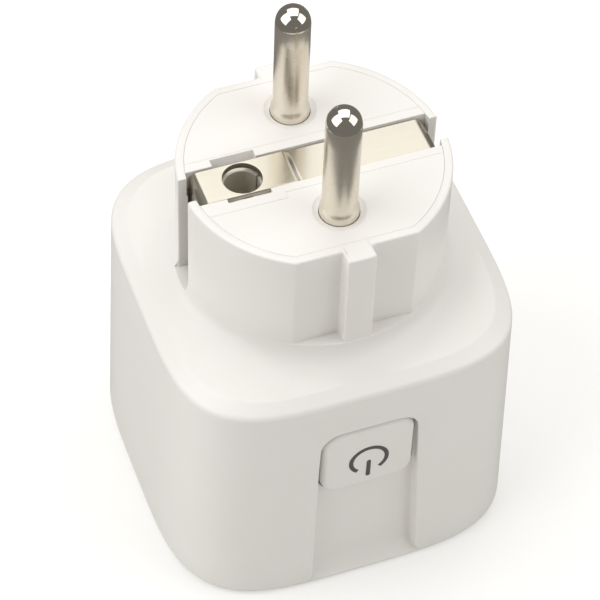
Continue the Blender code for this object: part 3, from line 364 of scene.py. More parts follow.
def housing_rings():
    """Up the outside, over the rim, and down the bore and the cavity."""
    rings = []
    for rise, inset in rounded_edge(BOTTOM_ROUND, 6):
        rings.append(level_ring(plain_outline(body_half(rise) - inset, BODY_SQUARE_BOTTOM), rise))
    turn = pi / 2 - SHOULDER_SLOPE
    tangent = SHOULDER_ROUND * tan(turn / 2)
    corner = BODY_HEIGHT - SHOULDER_DROP
    for z in steps(2.0, corner - tangent, 16):
        rings.append(level_ring(plain_outline(body_half(z), body_square(z)), z))
    for a in steps(0, turn, 7)[1:]:
        half = BODY_HALF_TOP - SHOULDER_ROUND * (1 - cos(a))
        z = corner - tangent + SHOULDER_ROUND * sin(a)
        rings.append(level_ring(plain_outline(half, BODY_SQUARE_TOP), z))
    start = half
    for share in (0.35, 0.7, 0.9, 1.0):
        inner = lerp(start, SHOULDER_HALF, share)
        rings.append(level_ring(plain_outline(inner, BODY_SQUARE_TOP),
                                z + (start - inner) * tan(SHOULDER_SLOPE)))
    band = rings[-1]
    band_z = band[0][2]
    slope = pi / 2 - SHOULDER_SLOPE
    foot = level_ring(plain_outline(STEM_RADIUS + FLARE_RADIUS * (1 - cos(slope)), 2.0),
                      FLARE_TOP - FLARE_RADIUS * sin(slope))
    for share in (0.06, 0.15, 0.3, 0.45, 0.6, 0.75, 0.88, 1.0):
        ring = []
        for (ax, ay, az), (bx, by, bz) in zip(band, foot):
            length = hypot(ax - bx, ay - by)
            power = min(max(tan(SHOULDER_SLOPE) * length / (bz - az), 1.0), 2.0)
            ring.append((lerp(ax, bx, share), lerp(ay, by, share), lerp(band_z, bz, share ** power)))
        rings.append(ring)
    for a in steps(slope, 0, 12)[1:-3]:
        radius = STEM_RADIUS + FLARE_RADIUS * (1 - cos(a))
        z = FLARE_TOP - FLARE_RADIUS * sin(a)
        if z < NOTCH_FLOOR - 0.12:
            rings.append(level_ring(plain_outline(radius, 2.0), z))
    for blend, rise in ((0.0, -0.03), (0.04, -0.01), (0.12, 0.0), (0.85, 0.02), (0.96, 0.08), (1.0, 0.22)):
        z = NOTCH_FLOOR + rise
        drop = max(FLARE_TOP - z, 0.0)
        radius = STEM_RADIUS + FLARE_RADIUS - sqrt(FLARE_RADIUS ** 2 - drop ** 2)
        outline = notched_outline(0.0, blend, radius)
        plain = plain_outline(radius, 2.0)
        keep = len(SECTOR_TURNS)
        count = len(plain)
        side = set(range(keep, keep + len(SIDE_TURNS)))
        side |= {(count - i) % count for i in side}
        mixed = [plain[i] if i in side else outline[i] for i in range(count)]
        rings.append(level_ring(mixed, z))
    for z in (FLARE_TOP, 48.0, 52.0, 56.0, FACE - 1.2):
        rings.append(level_ring(notched_outline(0.0), z))
    for inset, drop in rounded_edge(RIM_ROUND, 5):
        rings.append(level_ring(notched_outline(inset), FACE - drop))
    for inset, z in ((RIM_WALL - 0.06, FACE), (RIM_WALL - 0.015, FACE - 0.015), (RIM_WALL, FACE - 0.06),
                     (RIM_WALL, RIM_FLOOR), (STEM_WALL, RIM_FLOOR), (STEM_WALL, BORE_END)):
        rings.append(level_ring(keyed_outline(STEM_RADIUS - inset, NOTCH_FLAT - inset), z))
    rings.append(level_ring(plain_outline(CEILING_HALF, 4.0), CEILING + CEILING_ROUND))
    for z in (CEILING - CEILING_ROUND, 30.0, 20.0, 10.0, 0.0):
        rings.append(cavity_ring(z))
    return rings


def surface(x, z):
    """Distance from the axis to the body's front at a point of it."""
    half = body_half(z)
    square = body_square(z)
    return (half ** square - abs(x) ** square) ** (1 / square)


def channel_outline(offset):
    """The channel from the front: open at the bottom, rounded at its two upper corners."""
    corner = BUTTON_CORNER + BUTTON_GAP + 0.1 + offset
    half_top = CHANNEL_HALF + offset
    top = CHANNEL_TOP + 0.1 + offset
    right = []
    curl = CHANNEL_FLARE - CHANNEL_RUNOUT
    levels = [-1.0, 0.0, 0.4, CHANNEL_RUNOUT]
    levels += [CHANNEL_RUNOUT + curl * share for share in (0.1, 0.25, 0.45, 0.7, 1.0)]
    for z in levels + [2.8, 3.5, 4.3, 5.0] + steps(7.0, top - corner, 8)[:-1]:
        share = (CHANNEL_TOP - z) / CHANNEL_TOP
        drop = min(max((CHANNEL_FLARE - z) / curl, 0.0), 1.0)
        flare = curl * (1 - sqrt(1 - drop ** 2)) + max(CHANNEL_RUNOUT - z, 0.0)
        right.append((half_top + CHANNEL_TAPER * share + flare, z))
    right += corner_arc((half_top - corner, top - corner), corner, 0, 90, 12)
    return right + [(-x, z) for x, z in reversed(right)]


def sunk_ring(outline, depth):
    """Lay an outline on the body's front, a depth under its surface that runs out at the
    lower end."""
    found = []
    for x, z in outline:
        share = min(max((z - CHANNEL_RUNOUT) / CHANNEL_RISE, 0.0), 1.0)
        ease = lerp(0.07, 1.0, 1 - (1 - share) ** 2.2) if depth > 0 else 1.0
        found.append((x, -surface(min(max(x, -15.0), 15.0), z) + depth * ease, z))
    return found


def channel_shape():
    """A rounded lip, walls and a rounded foot, closed by a floor of rows that bends evenly."""
    rings = [sunk_ring(channel_outline(CHANNEL_LIP), -1.0)]
    for depth, offset in rounded_edge(CHANNEL_LIP, 6):
        rings.append(sunk_ring(channel_outline(offset), depth))
    for inset, rise in rounded_edge(CHANNEL_FOOT, 7):
        rings.append(sunk_ring(channel_outline(-inset), CHANNEL_DEPTH - rise))
    shape = loft(rings)
    shape.faces.ensure_lookup_table()
    edge = list(shape.faces[-1].verts)
    shape.faces.remove(shape.faces[-1])
    outline = channel_outline(-CHANNEL_FOOT)
    last = len(outline) // 2 - 1
    rows = []
    for i in range(1, last):
        x, z = outline[i]
        inner = sunk_ring([(x * share, z) for share in (0.7, 0.35, 0.0, -0.35, -0.7)], CHANNEL_DEPTH)
        rows.append([edge[i]] + [shape.verts.new(point) for point in inner] + [edge[-1 - i]])
    for low, high in zip(rows, rows[1:]):
        for j in range(len(low) - 1):
            shape.faces.new((low[j], low[j + 1], high[j + 1], high[j]))
    shape.faces.new([edge[0]] + rows[0] + [edge[-1]])
    shape.faces.new([edge[last]] + rows[-1] + [edge[-1 - last]])
    return shape


def rounded_rectangle(half_x, half_y, corner, middle=(0.0, 0.0), count=9):
    found = []
    for sx, sy, start in ((1, 1, 0), (-1, 1, 90), (-1, -1, 180), (1, -1, 270)):
        centre = (middle[0] + sx * (half_x - corner), middle[1] + sy * (half_y - corner))
        found += corner_arc(centre, corner, start, start + 90, count)
    return found


def button_opening_shape():
    outline = rounded_rectangle(BUTTON_HALF_WIDTH + BUTTON_GAP, BUTTON_HALF_HEIGHT + BUTTON_GAP,
                                BUTTON_CORNER + BUTTON_GAP, (0.0, BUTTON_MIDDLE))
    low = -body_half(BUTTON_MIDDLE) - 1.0
    return loft([[(x, y, z) for x, z in outline] for y in (low, low + 7.0)])


def side_slot_shape(side):
    """The slot through the stem's side and the wider pocket behind it, in one tool."""
    edge = STEM_RADIUS - 0.1
    right = [(POCKET_IN, POCKET_HALF), (POCKET_OUT, POCKET_HALF), (POCKET_OUT, SLOT_HALF)]
    right += [(edge - SLOT_LIP, SLOT_HALF), (edge - SLOT_LIP * 0.3, SLOT_HALF + SLOT_LIP * 0.3)]
    right += [(STEM_RADIUS + 0.05, SLOT_HALF + SLOT_LIP), (STEM_RADIUS + 4.0, SLOT_HALF + SLOT_LIP)]
    outline = right + [(x, -y) for x, y in reversed(right)]
    return loft([[(side * x, y, z) for x, y in outline] for z in (SLOT_FLOOR, FACE + 1)])


def extrude(outline, low, high):
    return loft([level_ring(outline, low), level_ring(outline, high)])


def circle(radius, count=64, middle=(0.0, 0.0)):
    return [(middle[0] + radius * cos(2 * pi * i / count),
             middle[1] + radius * sin(2 * pi * i / count)) for i in range(count)]


def turned(profile, middle=(0.0, 0.0), count=64):
    """A solid of revolution about an upright axis, from (radius, height) pairs, low end first."""
    return loft([level_ring(circle(r, count, middle), z) for r, z in profile])


def post(radius, low, high, place, count):
    return extrude(circle(radius, count, place), low, high)


housing_white = moulded_white("abs_moulded_white", WHITE, 0.34, 0.12)
housing = make_piece("housing_shell", loft(housing_rings(), closed=True), housing_white)
carve(housing, [channel_shape(), button_opening_shape(), side_slot_shape(1), side_slot_shape(-1)])
screw_places = [(a * SCREW_PLACE, b * SCREW_PLACE) for a in (-1, 1) for b in (-1, 1)]
carve(housing, [post(SCREW_BOSS, BOSS_LOW_END, BOSS_HIGH_END, place, 32) for place in screw_places], "UNION")
carve(housing, [post(SCREW_BORE, BOSS_LOW_END - 1, BOSS_HIGH_END - 1, place, 24) for place in screw_places])
even_normals(housing)
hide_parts("housing")
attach(housing, "body")


# -------------------------------------------------------------------------- pin carrier
# The insert that closes the stem, moulded in the same white ABS and snapped in with a hair
# gap all round.  It has a trough for the earth strap, a recess on each side of the earth
# hole for the strap's ears, and a shallow dish round each pin.

WHITE_CARRIER = "EAE8E4"
CARRIER_GAP = 0.014
CARRIER_LOW = RIM_FLOOR + 0.3
CARRIER_CLEAR = 50.0                # a level below the whole insert, from which its cuts start
STRAP_TOP = FACE - 0.4
TROUGH_HALF = 3.02
TROUGH_LEVEL = STRAP_TOP - 1.2
TROUGH_LIP = 0.12
RECESS_SPAN = (-13.3, -7.2)
RECESS_REACH_BACK = 4.15
RECESS_REACH_FRONT = 3.8
SEAM_ENDS = (-17.0, 17.4)
SEAM_Y = 4.4
SEAM_STEP = (-5.6, 5.4)             # up to this x the front seam lies this far out
SEAM_WIDTH = 0.15
SEAM_DEPTH = 0.05
PIN_Y = 9.5
PIN_HOLE = 2.78
DISH_RADIUS = 3.6
DISH_DEPTH = 0.22
BOSS_RADIUS = 4.45
BOSS_LOW = FACE - 5.4
FLANGE_POCKET = 3.5
FLANGE_POCKET_TOP = FACE - 4.5
EARTH_X = -10.1
SLEEVE_POCKET = 3.45
LEG_OPENING = (14.3, 19.5)          # where the strap's legs pass down through the insert


def across(section, low, high):
    """Extrude a (y, z) section along X."""
    return loft([[(x, y, z) for y, z in section] for x in (low, high)])


def band(path, width):
    """Outline of a line drawn with a width, mitred at its corners."""
    sides = ([], [])
    for i, point in enumerate(path):
        here = Vector(point)
        back = here - Vector(path[i - 1]) if i else Vector(path[1]) - here
        ahead = Vector(path[i + 1]) - here if i + 1 < len(path) else back
        mean = (back.normalized() + ahead.normalized()).normalized()
        offset = Vector((-mean.y, mean.x)) * width / 2 / max(back.normalized().dot(mean), 0.3)
        sides[0].append(tuple(here + offset))
        sides[1].append(tuple(here - offset))
    return sides[0] + sides[1][::-1]


def carrier_shape():
    rings = []
    for inset, z in ((0.0, CARRIER_LOW), (0.0, FACE - 0.07), (0.01, FACE - 0.035), (0.035, FACE - 0.01),
                     (0.07, FACE)):
        gap = RIM_WALL + CARRIER_GAP + inset
        rings.append(level_ring(keyed_outline(STEM_RADIUS - gap, NOTCH_FLAT - gap), z))
    return loft(rings)


def trough_shape():
    low = TROUGH_LEVEL
    lip = TROUGH_LIP
    right = [(TROUGH_HALF, low), (TROUGH_HALF, FACE - lip), (TROUGH_HALF + lip * 0.3, FACE - lip * 0.3),
             (TROUGH_HALF + lip, FACE), (TROUGH_HALF + lip, FACE + 1)]
    return across(right + [(-y, z) for y, z in reversed(right)], -19.0, 19.0)


def seam_shape(side):
    """Fine line along the trough; the front one steps outwards beside the earth hole."""
    path = [(x, side * SEAM_Y) for x in SEAM_ENDS]
    if side < 0:
        step_x, step_y = SEAM_STEP
        path[:1] = [(SEAM_ENDS[0], -step_y), (step_x, -step_y), (step_x, -SEAM_Y)]
    return extrude(band(path, SEAM_WIDTH), FACE - SEAM_DEPTH, FACE + 1)


carrier_white = moulded_white("abs_moulded_insert", WHITE_CARRIER, 0.38, 0.14)
carrier = make_piece("pin_carrier_insert", carrier_shape(), carrier_white)
pin_places = [(0.0, -PIN_Y), (0.0, PIN_Y)]
carve(carrier, [post(BOSS_RADIUS, BOSS_LOW, CARRIER_LOW + 1.0, place, 48) for place in pin_places], "UNION")
cuts = [trough_shape(), seam_shape(-1), seam_shape(1)]
for side, place in zip((-1, 1), pin_places):
    cuts.append(across([(-TROUGH_HALF, CARRIER_CLEAR), (TROUGH_HALF, CARRIER_CLEAR), (TROUGH_HALF, FACE + 1),
                        (-TROUGH_HALF, FACE + 1)], *sorted(side * x for x in LEG_OPENING)))
    dish = [(PIN_HOLE, FACE - DISH_DEPTH), (PIN_HOLE + 0.25, FACE - DISH_DEPTH * 0.9),
            (DISH_RADIUS - 0.3, FACE - DISH_DEPTH * 0.5), (DISH_RADIUS - 0.05, FACE - 0.03),
            (DISH_RADIUS + 0.02, FACE + 0.05), (DISH_RADIUS + 0.02, FACE + 1)]
    cuts.append(turned([(PIN_HOLE, CARRIER_CLEAR)] + dish, place))
    cuts.append(post(FLANGE_POCKET, CARRIER_CLEAR, FLANGE_POCKET_TOP, place, 48))
cuts.append(across([(3.0, TROUGH_LEVEL), (3.35, TROUGH_LEVEL), (RECESS_REACH_BACK, FACE + 0.01),
                    (RECESS_REACH_BACK, FACE + 1), (3.0, FACE + 1)], *RECESS_SPAN))
cuts.append(across([(-3.0, TROUGH_LEVEL), (-3.0, FACE + 1), (-RECESS_REACH_FRONT, FACE + 1),
                    (-RECESS_REACH_FRONT, TROUGH_LEVEL + 0.3)], *RECESS_SPAN))
cuts.append(post(SLEEVE_POCKET, CARRIER_CLEAR, FACE, (EARTH_X, 0.0), 48))
carve(carrier, cuts)
even_normals(carrier)
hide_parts("pin_carrier")
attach(carrier, "body")


# --------------------------------------------------------------------------------- pins
# Two solid brass pins, turned and nickel plated.  The round tips are polished like a
# mirror and meet the satin shaft at a fine crease; a flange holds each pin in the carrier.

live_low, live_high = span("live_pin")
PIN_RADIUS = 2.4
PIN_FOOT = 2.7
PIN_TIP = live_high.z
PIN_FLANGE = 3.2
PIN_TAIL = 1.6
PIN_FLANGE_TOP = FACE - 4.8
PIN_TAIL_TOP = PIN_FLANGE_TOP - 1.6


def metal(name, colour, roughness, grain_mm, stretch, strength):
    """A metal with a fine worked grain: noise drawn out along one way by stretch."""
    found, tree, shader, place = new_material(name, colour, roughness, 1.0)
    scale = [1 / (grain_mm * s) for s in stretch]
    lines = add_node(tree, "ShaderNodeMapping", {"vector_type": "POINT", "Scale": scale}, Vector=place)
    grain = add_node(tree, "ShaderNodeTexNoise", {"Scale": 1 / MM, "Detail": 2.0},
                     Vector=lines.outputs["Vector"])
    roughen(tree, shader, grain.outputs["Fac"], roughness * 0.8, roughness * 1.25, strength, 0.01)
    return found


# Turned and plated nickel is warm and a little cloudy, with lines round the shaft about a
# tenth of a millimetre apart; the tip is buffed, so the softboxes show in it as sharp squares.
nickel_satin = metal("nickel_turned_satin", "E6DFD1", 0.29, 0.1, (40, 40, 1), 0.07)
nickel_mirror = metal("nickel_buffed_mirror", "CFCABF", 0.035, 0.5, (1, 1, 1), 0.0)


def pin_profile():
    base = PIN_TIP - PIN_RADIUS
    profile = [(PIN_TAIL, live_low.z), (PIN_TAIL, PIN_TAIL_TOP), (PIN_FLANGE, PIN_TAIL_TOP),
               (PIN_FLANGE, PIN_FLANGE_TOP), (PIN_FOOT, PIN_FLANGE_TOP), (PIN_FOOT, FACE + 0.35),
               (PIN_FOOT, FACE + 0.6)]
    for share in (0.2, 0.4, 0.6, 0.8, 1.0):
        ease = share * share * (3 - 2 * share)
        profile.append((lerp(PIN_FOOT, PIN_RADIUS, ease), FACE + 0.6 + 1.1 * share))
    profile += [(PIN_RADIUS, base - 3.0), (PIN_RADIUS, base - 0.12), (PIN_RADIUS - 0.035, base - 0.04)]
    for a in steps(0, 88, 20):
        turn = radians(a)
        profile.append(((PIN_RADIUS - 0.03) * cos(turn), base + PIN_RADIUS * sin(turn)))
    return profile


for node, place in zip(("live_pin", "neutral_pin"), pin_places):
    pin = make_piece(node + "_turned", turned(pin_profile(), place, 72), nickel_satin, 50)
    pin.data.materials.append(nickel_mirror)
    for face in pin.data.polygons:
        face.material_index = int(face.center.z / MM > PIN_TIP - PIN_RADIUS - 0.03)
    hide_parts(node)
    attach(pin, "body")


# -------------------------------------------------------------------------- earth strap
# One strip of spring steel, stamped, bent and nickel plated.  It lies a fifth of a
# millimetre higher round the earth hole, and its two legs turn down into the side slots,
# where a socket's clips touch them.

STRAP_THICKNESS = 0.9
STRAP_HALF_WIDTH = 2.93
STRAP_REACH = 16.2
STRAP_BEND = 0.9
STRAP_STEP = -0.2
STRAP_STEP_SPAN = (-3.7, -2.6)
STRAP_LEG = 15.0
STRAP_SPLAY = 0.2                   # how far the foot of each leg stands out
STRAP_EDGE = 0.16
EARTH_HOLE = 2.65
EARTH_HOLE_LIP = 0.14


def strap_level(x):
    share = (x - STRAP_STEP_SPAN[0]) / (STRAP_STEP_SPAN[1] - STRAP_STEP_SPAN[0])
    share = min(max(share, 0.0), 1.0)
    return STRAP_TOP - STRAP_THICKNESS / 2 - STRAP_STEP * (1 - share * share * (3 - 2 * share))


def strap_path():
    """Centre line in X and Z: leg, bend, the step, flat run, bend, leg."""
    right_level = strap_level(10.0)
    left_level = strap_level(-16.0)
    knee = STRAP_REACH - STRAP_BEND
    low = STRAP_TOP - STRAP_THICKNESS / 2 - STRAP_LEG
    left_leg = [(-STRAP_REACH - STRAP_SPLAY, low), (-STRAP_REACH - STRAP_SPLAY / 2, low + 6.0)]
    path = list(left_leg)
    path += [(-x, z) for x, z in corner_arc((knee, left_level - STRAP_BEND), STRAP_BEND, 0, 90, 10)]
    path += [(x, strap_level(x)) for x in steps(-13.0, STRAP_STEP_SPAN[0], 4)]
    path += [(x, strap_level(x)) for x in steps(STRAP_STEP_SPAN[0] + 0.25, STRAP_STEP_SPAN[1], 13)]
    path += [(x, right_level) for x in (-1.0, -0.5, 4.0, 9.0, 13.0)]
    path += corner_arc((knee, right_level - STRAP_BEND), STRAP_BEND, 90, 0, 10)
    return path + [(-x, z) for x, z in reversed(left_leg)]


def ribbon(path, thickness, half_width, corner):
    """Sheet metal with rounded edges, bent along a path in the XZ plane."""
    section = rounded_rectangle(thickness / 2, half_width, corner, (0.0, 0.0), 4)
    rings = []
    for i, point in enumerate(path):
        here = Vector(point)
        ahead = (Vector(path[min(i + 1, len(path) - 1)]) - Vector(path[max(i - 1, 0)])).normalized()
        rings.append([(here.x - ahead.y * a, b, here.y + ahead.x * a) for a, b in section])
    return loft(rings)


# Stamped strip keeps the rolling lines along its length, and bright nickel over them gives
# a cream sheen.
nickel_strip = metal("nickel_plated_strip", "BEB8AB", 0.22, 0.12, (30, 1, 1), 0.06)
strap_shape = ribbon(strap_path(), STRAP_THICKNESS, STRAP_HALF_WIDTH, STRAP_EDGE)
strap = make_piece("earth_strap_bent", strap_shape, nickel_strip, 40)
lip = EARTH_HOLE_LIP
hole = [(EARTH_HOLE + lip, CARRIER_CLEAR), (EARTH_HOLE + lip, STRAP_TOP - 1.5)]
hole += [(EARTH_HOLE, STRAP_TOP - 1.0)]
top = strap_level(EARTH_X) + STRAP_THICKNESS / 2
hole += [(EARTH_HOLE, top - lip), (EARTH_HOLE + lip * 0.3, top - lip * 0.3), (EARTH_HOLE + lip, top),
         (EARTH_HOLE + lip + 0.02, top + 1)]
carve(strap, [turned(hole, (EARTH_X, 0.0))], sharp=40)
even_normals(strap)
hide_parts("earth_strap")
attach(strap, "body")


# ----------------------------------------------------------- earth sleeve and earth riser
# The sleeve under the hole is rolled from nickel-plated spring strip and slit along one
# side, so that it grips a fixed earth pin.  A flat brass bar joins it to the socket.

SLEEVE_IN = 2.5
SLEEVE_WALL = 0.6
SLEEVE_LOW = FACE - 15.0
SLEEVE_TOP = STRAP_TOP - 1.25
SLEEVE_SLIT = (16, 24)              # angles between which it is open, in degrees

# Rolled plated strip, dull inside, with fine upright marks that spread the light.  Its colour
# is painted near white, paler than the strap's, as painted light inside the deep dark tube.
nickel_sleeve_painted_light = metal("nickel_rolled_sleeve", "F0ECE2", 0.6, 0.15, (1, 1, 20), 0.25)


def sleeve_outline():
    middle = (EARTH_X, 0.0)
    start = SLEEVE_SLIT[1]
    end = SLEEVE_SLIT[0] + 360
    outer = corner_arc(middle, SLEEVE_IN + SLEEVE_WALL, start, end, 56)
    return outer + corner_arc(middle, SLEEVE_IN, end, start, 56)


sleeve = make_piece("earth_sleeve_rolled", extrude(sleeve_outline(), SLEEVE_LOW, SLEEVE_TOP),
                    nickel_sleeve_painted_light, 40)
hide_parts("earth_pin_sleeve")
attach(sleeve, "body")


def dress(node, finish):
    """Give a node of the frame its material; its mesh and place stay as they are."""
    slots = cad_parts[node].data.materials
    slots.clear()
    slots.append(finish)


# Stamped brass is left bare: a soft yellow shine, streaked along the way it was rolled.
brass_strip = metal("brass_stamped_strip", "C8A860", 0.3, 0.12, (30, 1, 1), 0.2)
dress("earth_riser", brass_strip)


# ------------------------------------------------------------------------- power button
# A pillowed key of the same white ABS, moulded with a lip that keeps it inside the wall.
# Its standby mark is pad printed in dark grey ink, a few hundredths of a millimetre thick.

BUTTON_FACE = -span("power_button")[0].y
BUTTON_CROWN = 0.14                 # how much higher the middle is than the edge
BUTTON_PILLOW = 1.0                 # radius of its rounded edge
BUTTON_LIP_FRONT = 21.74
BUTTON_LIP_BACK = 20.94
BUTTON_LIP_LOW = 20.0
BUTTON_LIP_HIGH = BUTTON_MIDDLE + BUTTON_HALF_HEIGHT + 1.2
BUTTON_LIP_HALF = BUTTON_HALF_WIDTH + BUTTON_GAP + 0.9
MARK_MIDDLE = 25.4
MARK_OUT = 2.92
MARK_IN = 2.3
MARK_GAP = 38.0                     # half angle of the ring's gap, in degrees
MARK_BAR = (21.65, 25.3)
MARK_INK = 0.03
MARK_SUNK = 0.03                    # how deep the ink's back lies in the key
INK_DARK = "514E49"
INK_LIGHT = "5E5B56"
MOTTLE_MM = 0.2


def crown(x, z):
    """How far the button's face lies behind its highest point."""
    across_x = min(abs(x) / BUTTON_HALF_WIDTH, 1.0)
    across_z = min(abs(z - BUTTON_MIDDLE) / BUTTON_HALF_HEIGHT, 1.0)
    return BUTTON_CROWN * (1 - (1 - across_x ** 2) * (1 - across_z ** 2))


def button_shape():
    rings = []
    inner = BUTTON_LIP_FRONT - 0.3
    edges = [(0.0, inner, 0.0), (0.0, BUTTON_FACE - BUTTON_PILLOW, 1.0)]
    edges += [(inset * 0.8, BUTTON_FACE - drop, 1.0) for inset, drop in rounded_edge(BUTTON_PILLOW, 8, 12)]
    edges += [(inset, BUTTON_FACE, 1.0) for inset in (1.4, 2.1, 3.0, 4.0, 5.0, 5.8)]
    for inset, level, crowned in edges:
        corner = max(BUTTON_CORNER - inset, 0.25)
        outline = rounded_rectangle(BUTTON_HALF_WIDTH - inset, BUTTON_HALF_HEIGHT - inset, corner,
                                    (0.0, BUTTON_MIDDLE))
        rings.append([(x, -level + crowned * crown(x, z), z) for x, z in outline])
    return loft(rings)


def box_shape(x_low, x_high, y_low, y_high, z_low, z_high):
    return extrude([(x_low, y_low), (x_high, y_low), (x_high, y_high), (x_low, y_high)], z_low, z_high)


button_white = moulded_white("abs_moulded_button", "E9E7E3", 0.36, 0.12)
button = make_piece("power_button_key", button_shape(), button_white)
carve(button, [box_shape(-BUTTON_LIP_HALF, BUTTON_LIP_HALF, -BUTTON_LIP_FRONT, -BUTTON_LIP_BACK,
                         BUTTON_LIP_LOW, BUTTON_LIP_HIGH)], "UNION")
even_normals(button)
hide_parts("power_button")
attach(button, "power_button")


def ink_strip(rows, shape=None):
    """A thin slab over rows of (x, z) points, laid on the crowned face."""
    rings = []
    for row in rows:
        front = [(x, crown(x, z) - BUTTON_FACE - MARK_INK, z) for x, z in row]
        rings.append(front + [(x, crown(x, z) - BUTTON_FACE + MARK_SUNK, z) for x, z in reversed(row)])
    return loft(rings, shape=shape)


def ink_shape():
    """The ring with its gap, and the bar with round ends in the gap."""
    across_ring = [corner_arc((0.0, MARK_MIDDLE), r, MARK_GAP - 90, 270 - MARK_GAP, 56)
                   for r in steps(MARK_IN, MARK_OUT, 3)]
    ring = list(zip(*across_ring))
    half = (MARK_OUT - MARK_IN) / 2
    low, high = MARK_BAR
    bar = []
    for share in (0.03, 0.15, 0.35, 0.65, 1.0):
        wide = half * sqrt(1 - (1 - share) ** 2)
        bar.append([(x, half * share) for x in (-wide, 0.0, wide)])
    rows = [[(x, low + rise) for x, rise in row] for row in bar]
    rows += [[(x, high - rise) for x, rise in row] for row in reversed(bar)]
    return ink_strip(rows, ink_strip(ring))


# Pad-printing ink: a dense warm grey, slightly glossier than the plastic, with a mottle of
# about a fifth of a millimetre where the pad lifted it.
mark_ink, mark_tree, mark_shader, mark_place = new_material("pad_printed_grey_ink", "57544F", 0.4)
mottle = add_node(mark_tree, "ShaderNodeTexNoise", {"Scale": 1 / (MOTTLE_MM * MM), "Detail": 2.0},
                  Vector=mark_place)
tint(mark_tree, mark_shader, mottle.outputs["Fac"], linear(INK_DARK), linear(INK_LIGHT))
mark = make_piece("standby_mark", ink_shape(), mark_ink)
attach(mark, "power_button")


# ------------------------------------------------------------------------ socket moulding
# The lower closing piece, moulded in the same white ABS: the round recess that takes an
# appliance's plug, its guide keys, two pin holes and a window on each side for the clips.
# Four case screws through its flange hold it, and two posts on it carry the power board.

RECESS_RADIUS = 19.5
RECESS_DEPTH = 17.5
RECESS_MOUTH = 0.6                  # radius round the recess's mouth
CUP_RADIUS = 21.0
CUP_TOP = 19.5
FLANGE_THICKNESS = 2.5
KEY_FLAT = 17.1
KEY_INNER = 2.6
KEY_OUTER = 8.0
KEY_LOW = 2.5
SOCKET_HOLE = 3.0
WINDOW_HALF = 3.4
WINDOW_LOW = 3.6
WINDOW_HIGH = 16.0
POST_X = -11.2
POST_Y = 7.8
POST_RADIUS = 2.0
POST_BORE = 1.2
POST_TOP = span("socket_cup")[1].z
POST_BORE_LOW = POST_TOP - 5.5
HEAD_POCKET = 2.6
HEAD_SINK = 1.5


def recess_shape():
    wide = RECESS_RADIUS + RECESS_MOUTH + 0.1
    profile = [(wide, -1.0), (wide, -0.02)]
    profile += [(RECESS_RADIUS + inset, rise) for rise, inset in rounded_edge(RECESS_MOUTH, 5)]
    profile += [(RECESS_RADIUS, RECESS_DEPTH - 0.5), (RECESS_RADIUS - 0.15, RECESS_DEPTH - 0.15),
                (RECESS_RADIUS - 0.5, RECESS_DEPTH)]
    return turned(profile, count=144)


def key_shape(side_x, side_y):
    """One guide key: a rib with rounded corners and a sloped lead-in at its lower end."""
    near, far = sorted((side_x * KEY_INNER, side_x * KEY_OUTER))
    outer = side_y * (RECESS_RADIUS + 0.6)
    rings = []
    for z, flat in ((KEY_LOW, KEY_FLAT + 0.9), (KEY_LOW + 0.25, KEY_FLAT + 0.35),
                    (KEY_LOW + 0.9, KEY_FLAT), (RECESS_DEPTH + 0.5, KEY_FLAT)):
        y = side_y * flat
        rings.append([(near, outer, z), (near, y + 0.3 * side_y, z), (near + 0.09, y + 0.09 * side_y, z),
                      (near + 0.3, y, z), (far - 0.3, y, z), (far - 0.09, y + 0.09 * side_y, z),
                      (far, y + 0.3 * side_y, z), (far, outer, z)])
    return loft(rings)


socket_white = moulded_white("abs_moulded_socket", WHITE, 0.36, 0.12)
flange = [(0.0, 0.45), (0.06, 0.34), (0.2, 0.3), (FLANGE_THICKNESS, 0.3)]
cup = make_piece("socket_moulding", loft([cavity_ring(z, inset) for z, inset in flange]), socket_white)
cup_wall = [(CUP_RADIUS, 1.0), (CUP_RADIUS, CUP_TOP - 0.4), (CUP_RADIUS - 0.4, CUP_TOP)]
carve(cup, [turned(cup_wall, count=144)], "UNION")
carve(cup, [recess_shape()])
carve(cup, [key_shape(a, b) for a in (-1, 1) for b in (-1, 1)], "UNION")
post_places = [(POST_X, -POST_Y), (POST_X, POST_Y)]
carve(cup, [post(POST_RADIUS, CUP_TOP - 0.5, POST_TOP, place, 32) for place in post_places], "UNION")
cuts = []
for side, pin_place, post_place in zip((-1, 1), pin_places, post_places):
    cuts.append(turned([(SOCKET_HOLE + 0.4, RECESS_DEPTH - 1), (SOCKET_HOLE + 0.4, RECESS_DEPTH),
                        (SOCKET_HOLE + 0.12, RECESS_DEPTH + 0.12), (SOCKET_HOLE, RECESS_DEPTH + 0.4),
                        (SOCKET_HOLE, CUP_TOP + 1)], pin_place, 48))
    near, far = sorted((side * (RECESS_RADIUS - 3), side * (CUP_RADIUS + 3)))
    cuts.append(box_shape(near, far, -WINDOW_HALF, WINDOW_HALF, WINDOW_LOW, WINDOW_HIGH))
    cuts.append(post(POST_BORE, POST_BORE_LOW, POST_TOP + 1, post_place, 24))
for place in screw_places:
    cuts.append(turned([(HEAD_POCKET + 0.25, -1.0), (HEAD_POCKET + 0.2, 0.0), (HEAD_POCKET, 0.2),
                        (HEAD_POCKET, HEAD_SINK), (SCREW_BORE, HEAD_SINK + 0.01),
                        (SCREW_BORE, FLANGE_THICKNESS + 1)], place, 40))
carve(cup, cuts)
even_normals(cup)
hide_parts("socket_cup")
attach(cup, "body")


# ------------------------------------------------------------------ shutter and its cover
# A slide of acetal with two ramped blades keeps the pin holes shut until both pins press
# on it.  A polycarbonate cover is fixed over it and holds it down on the cup.


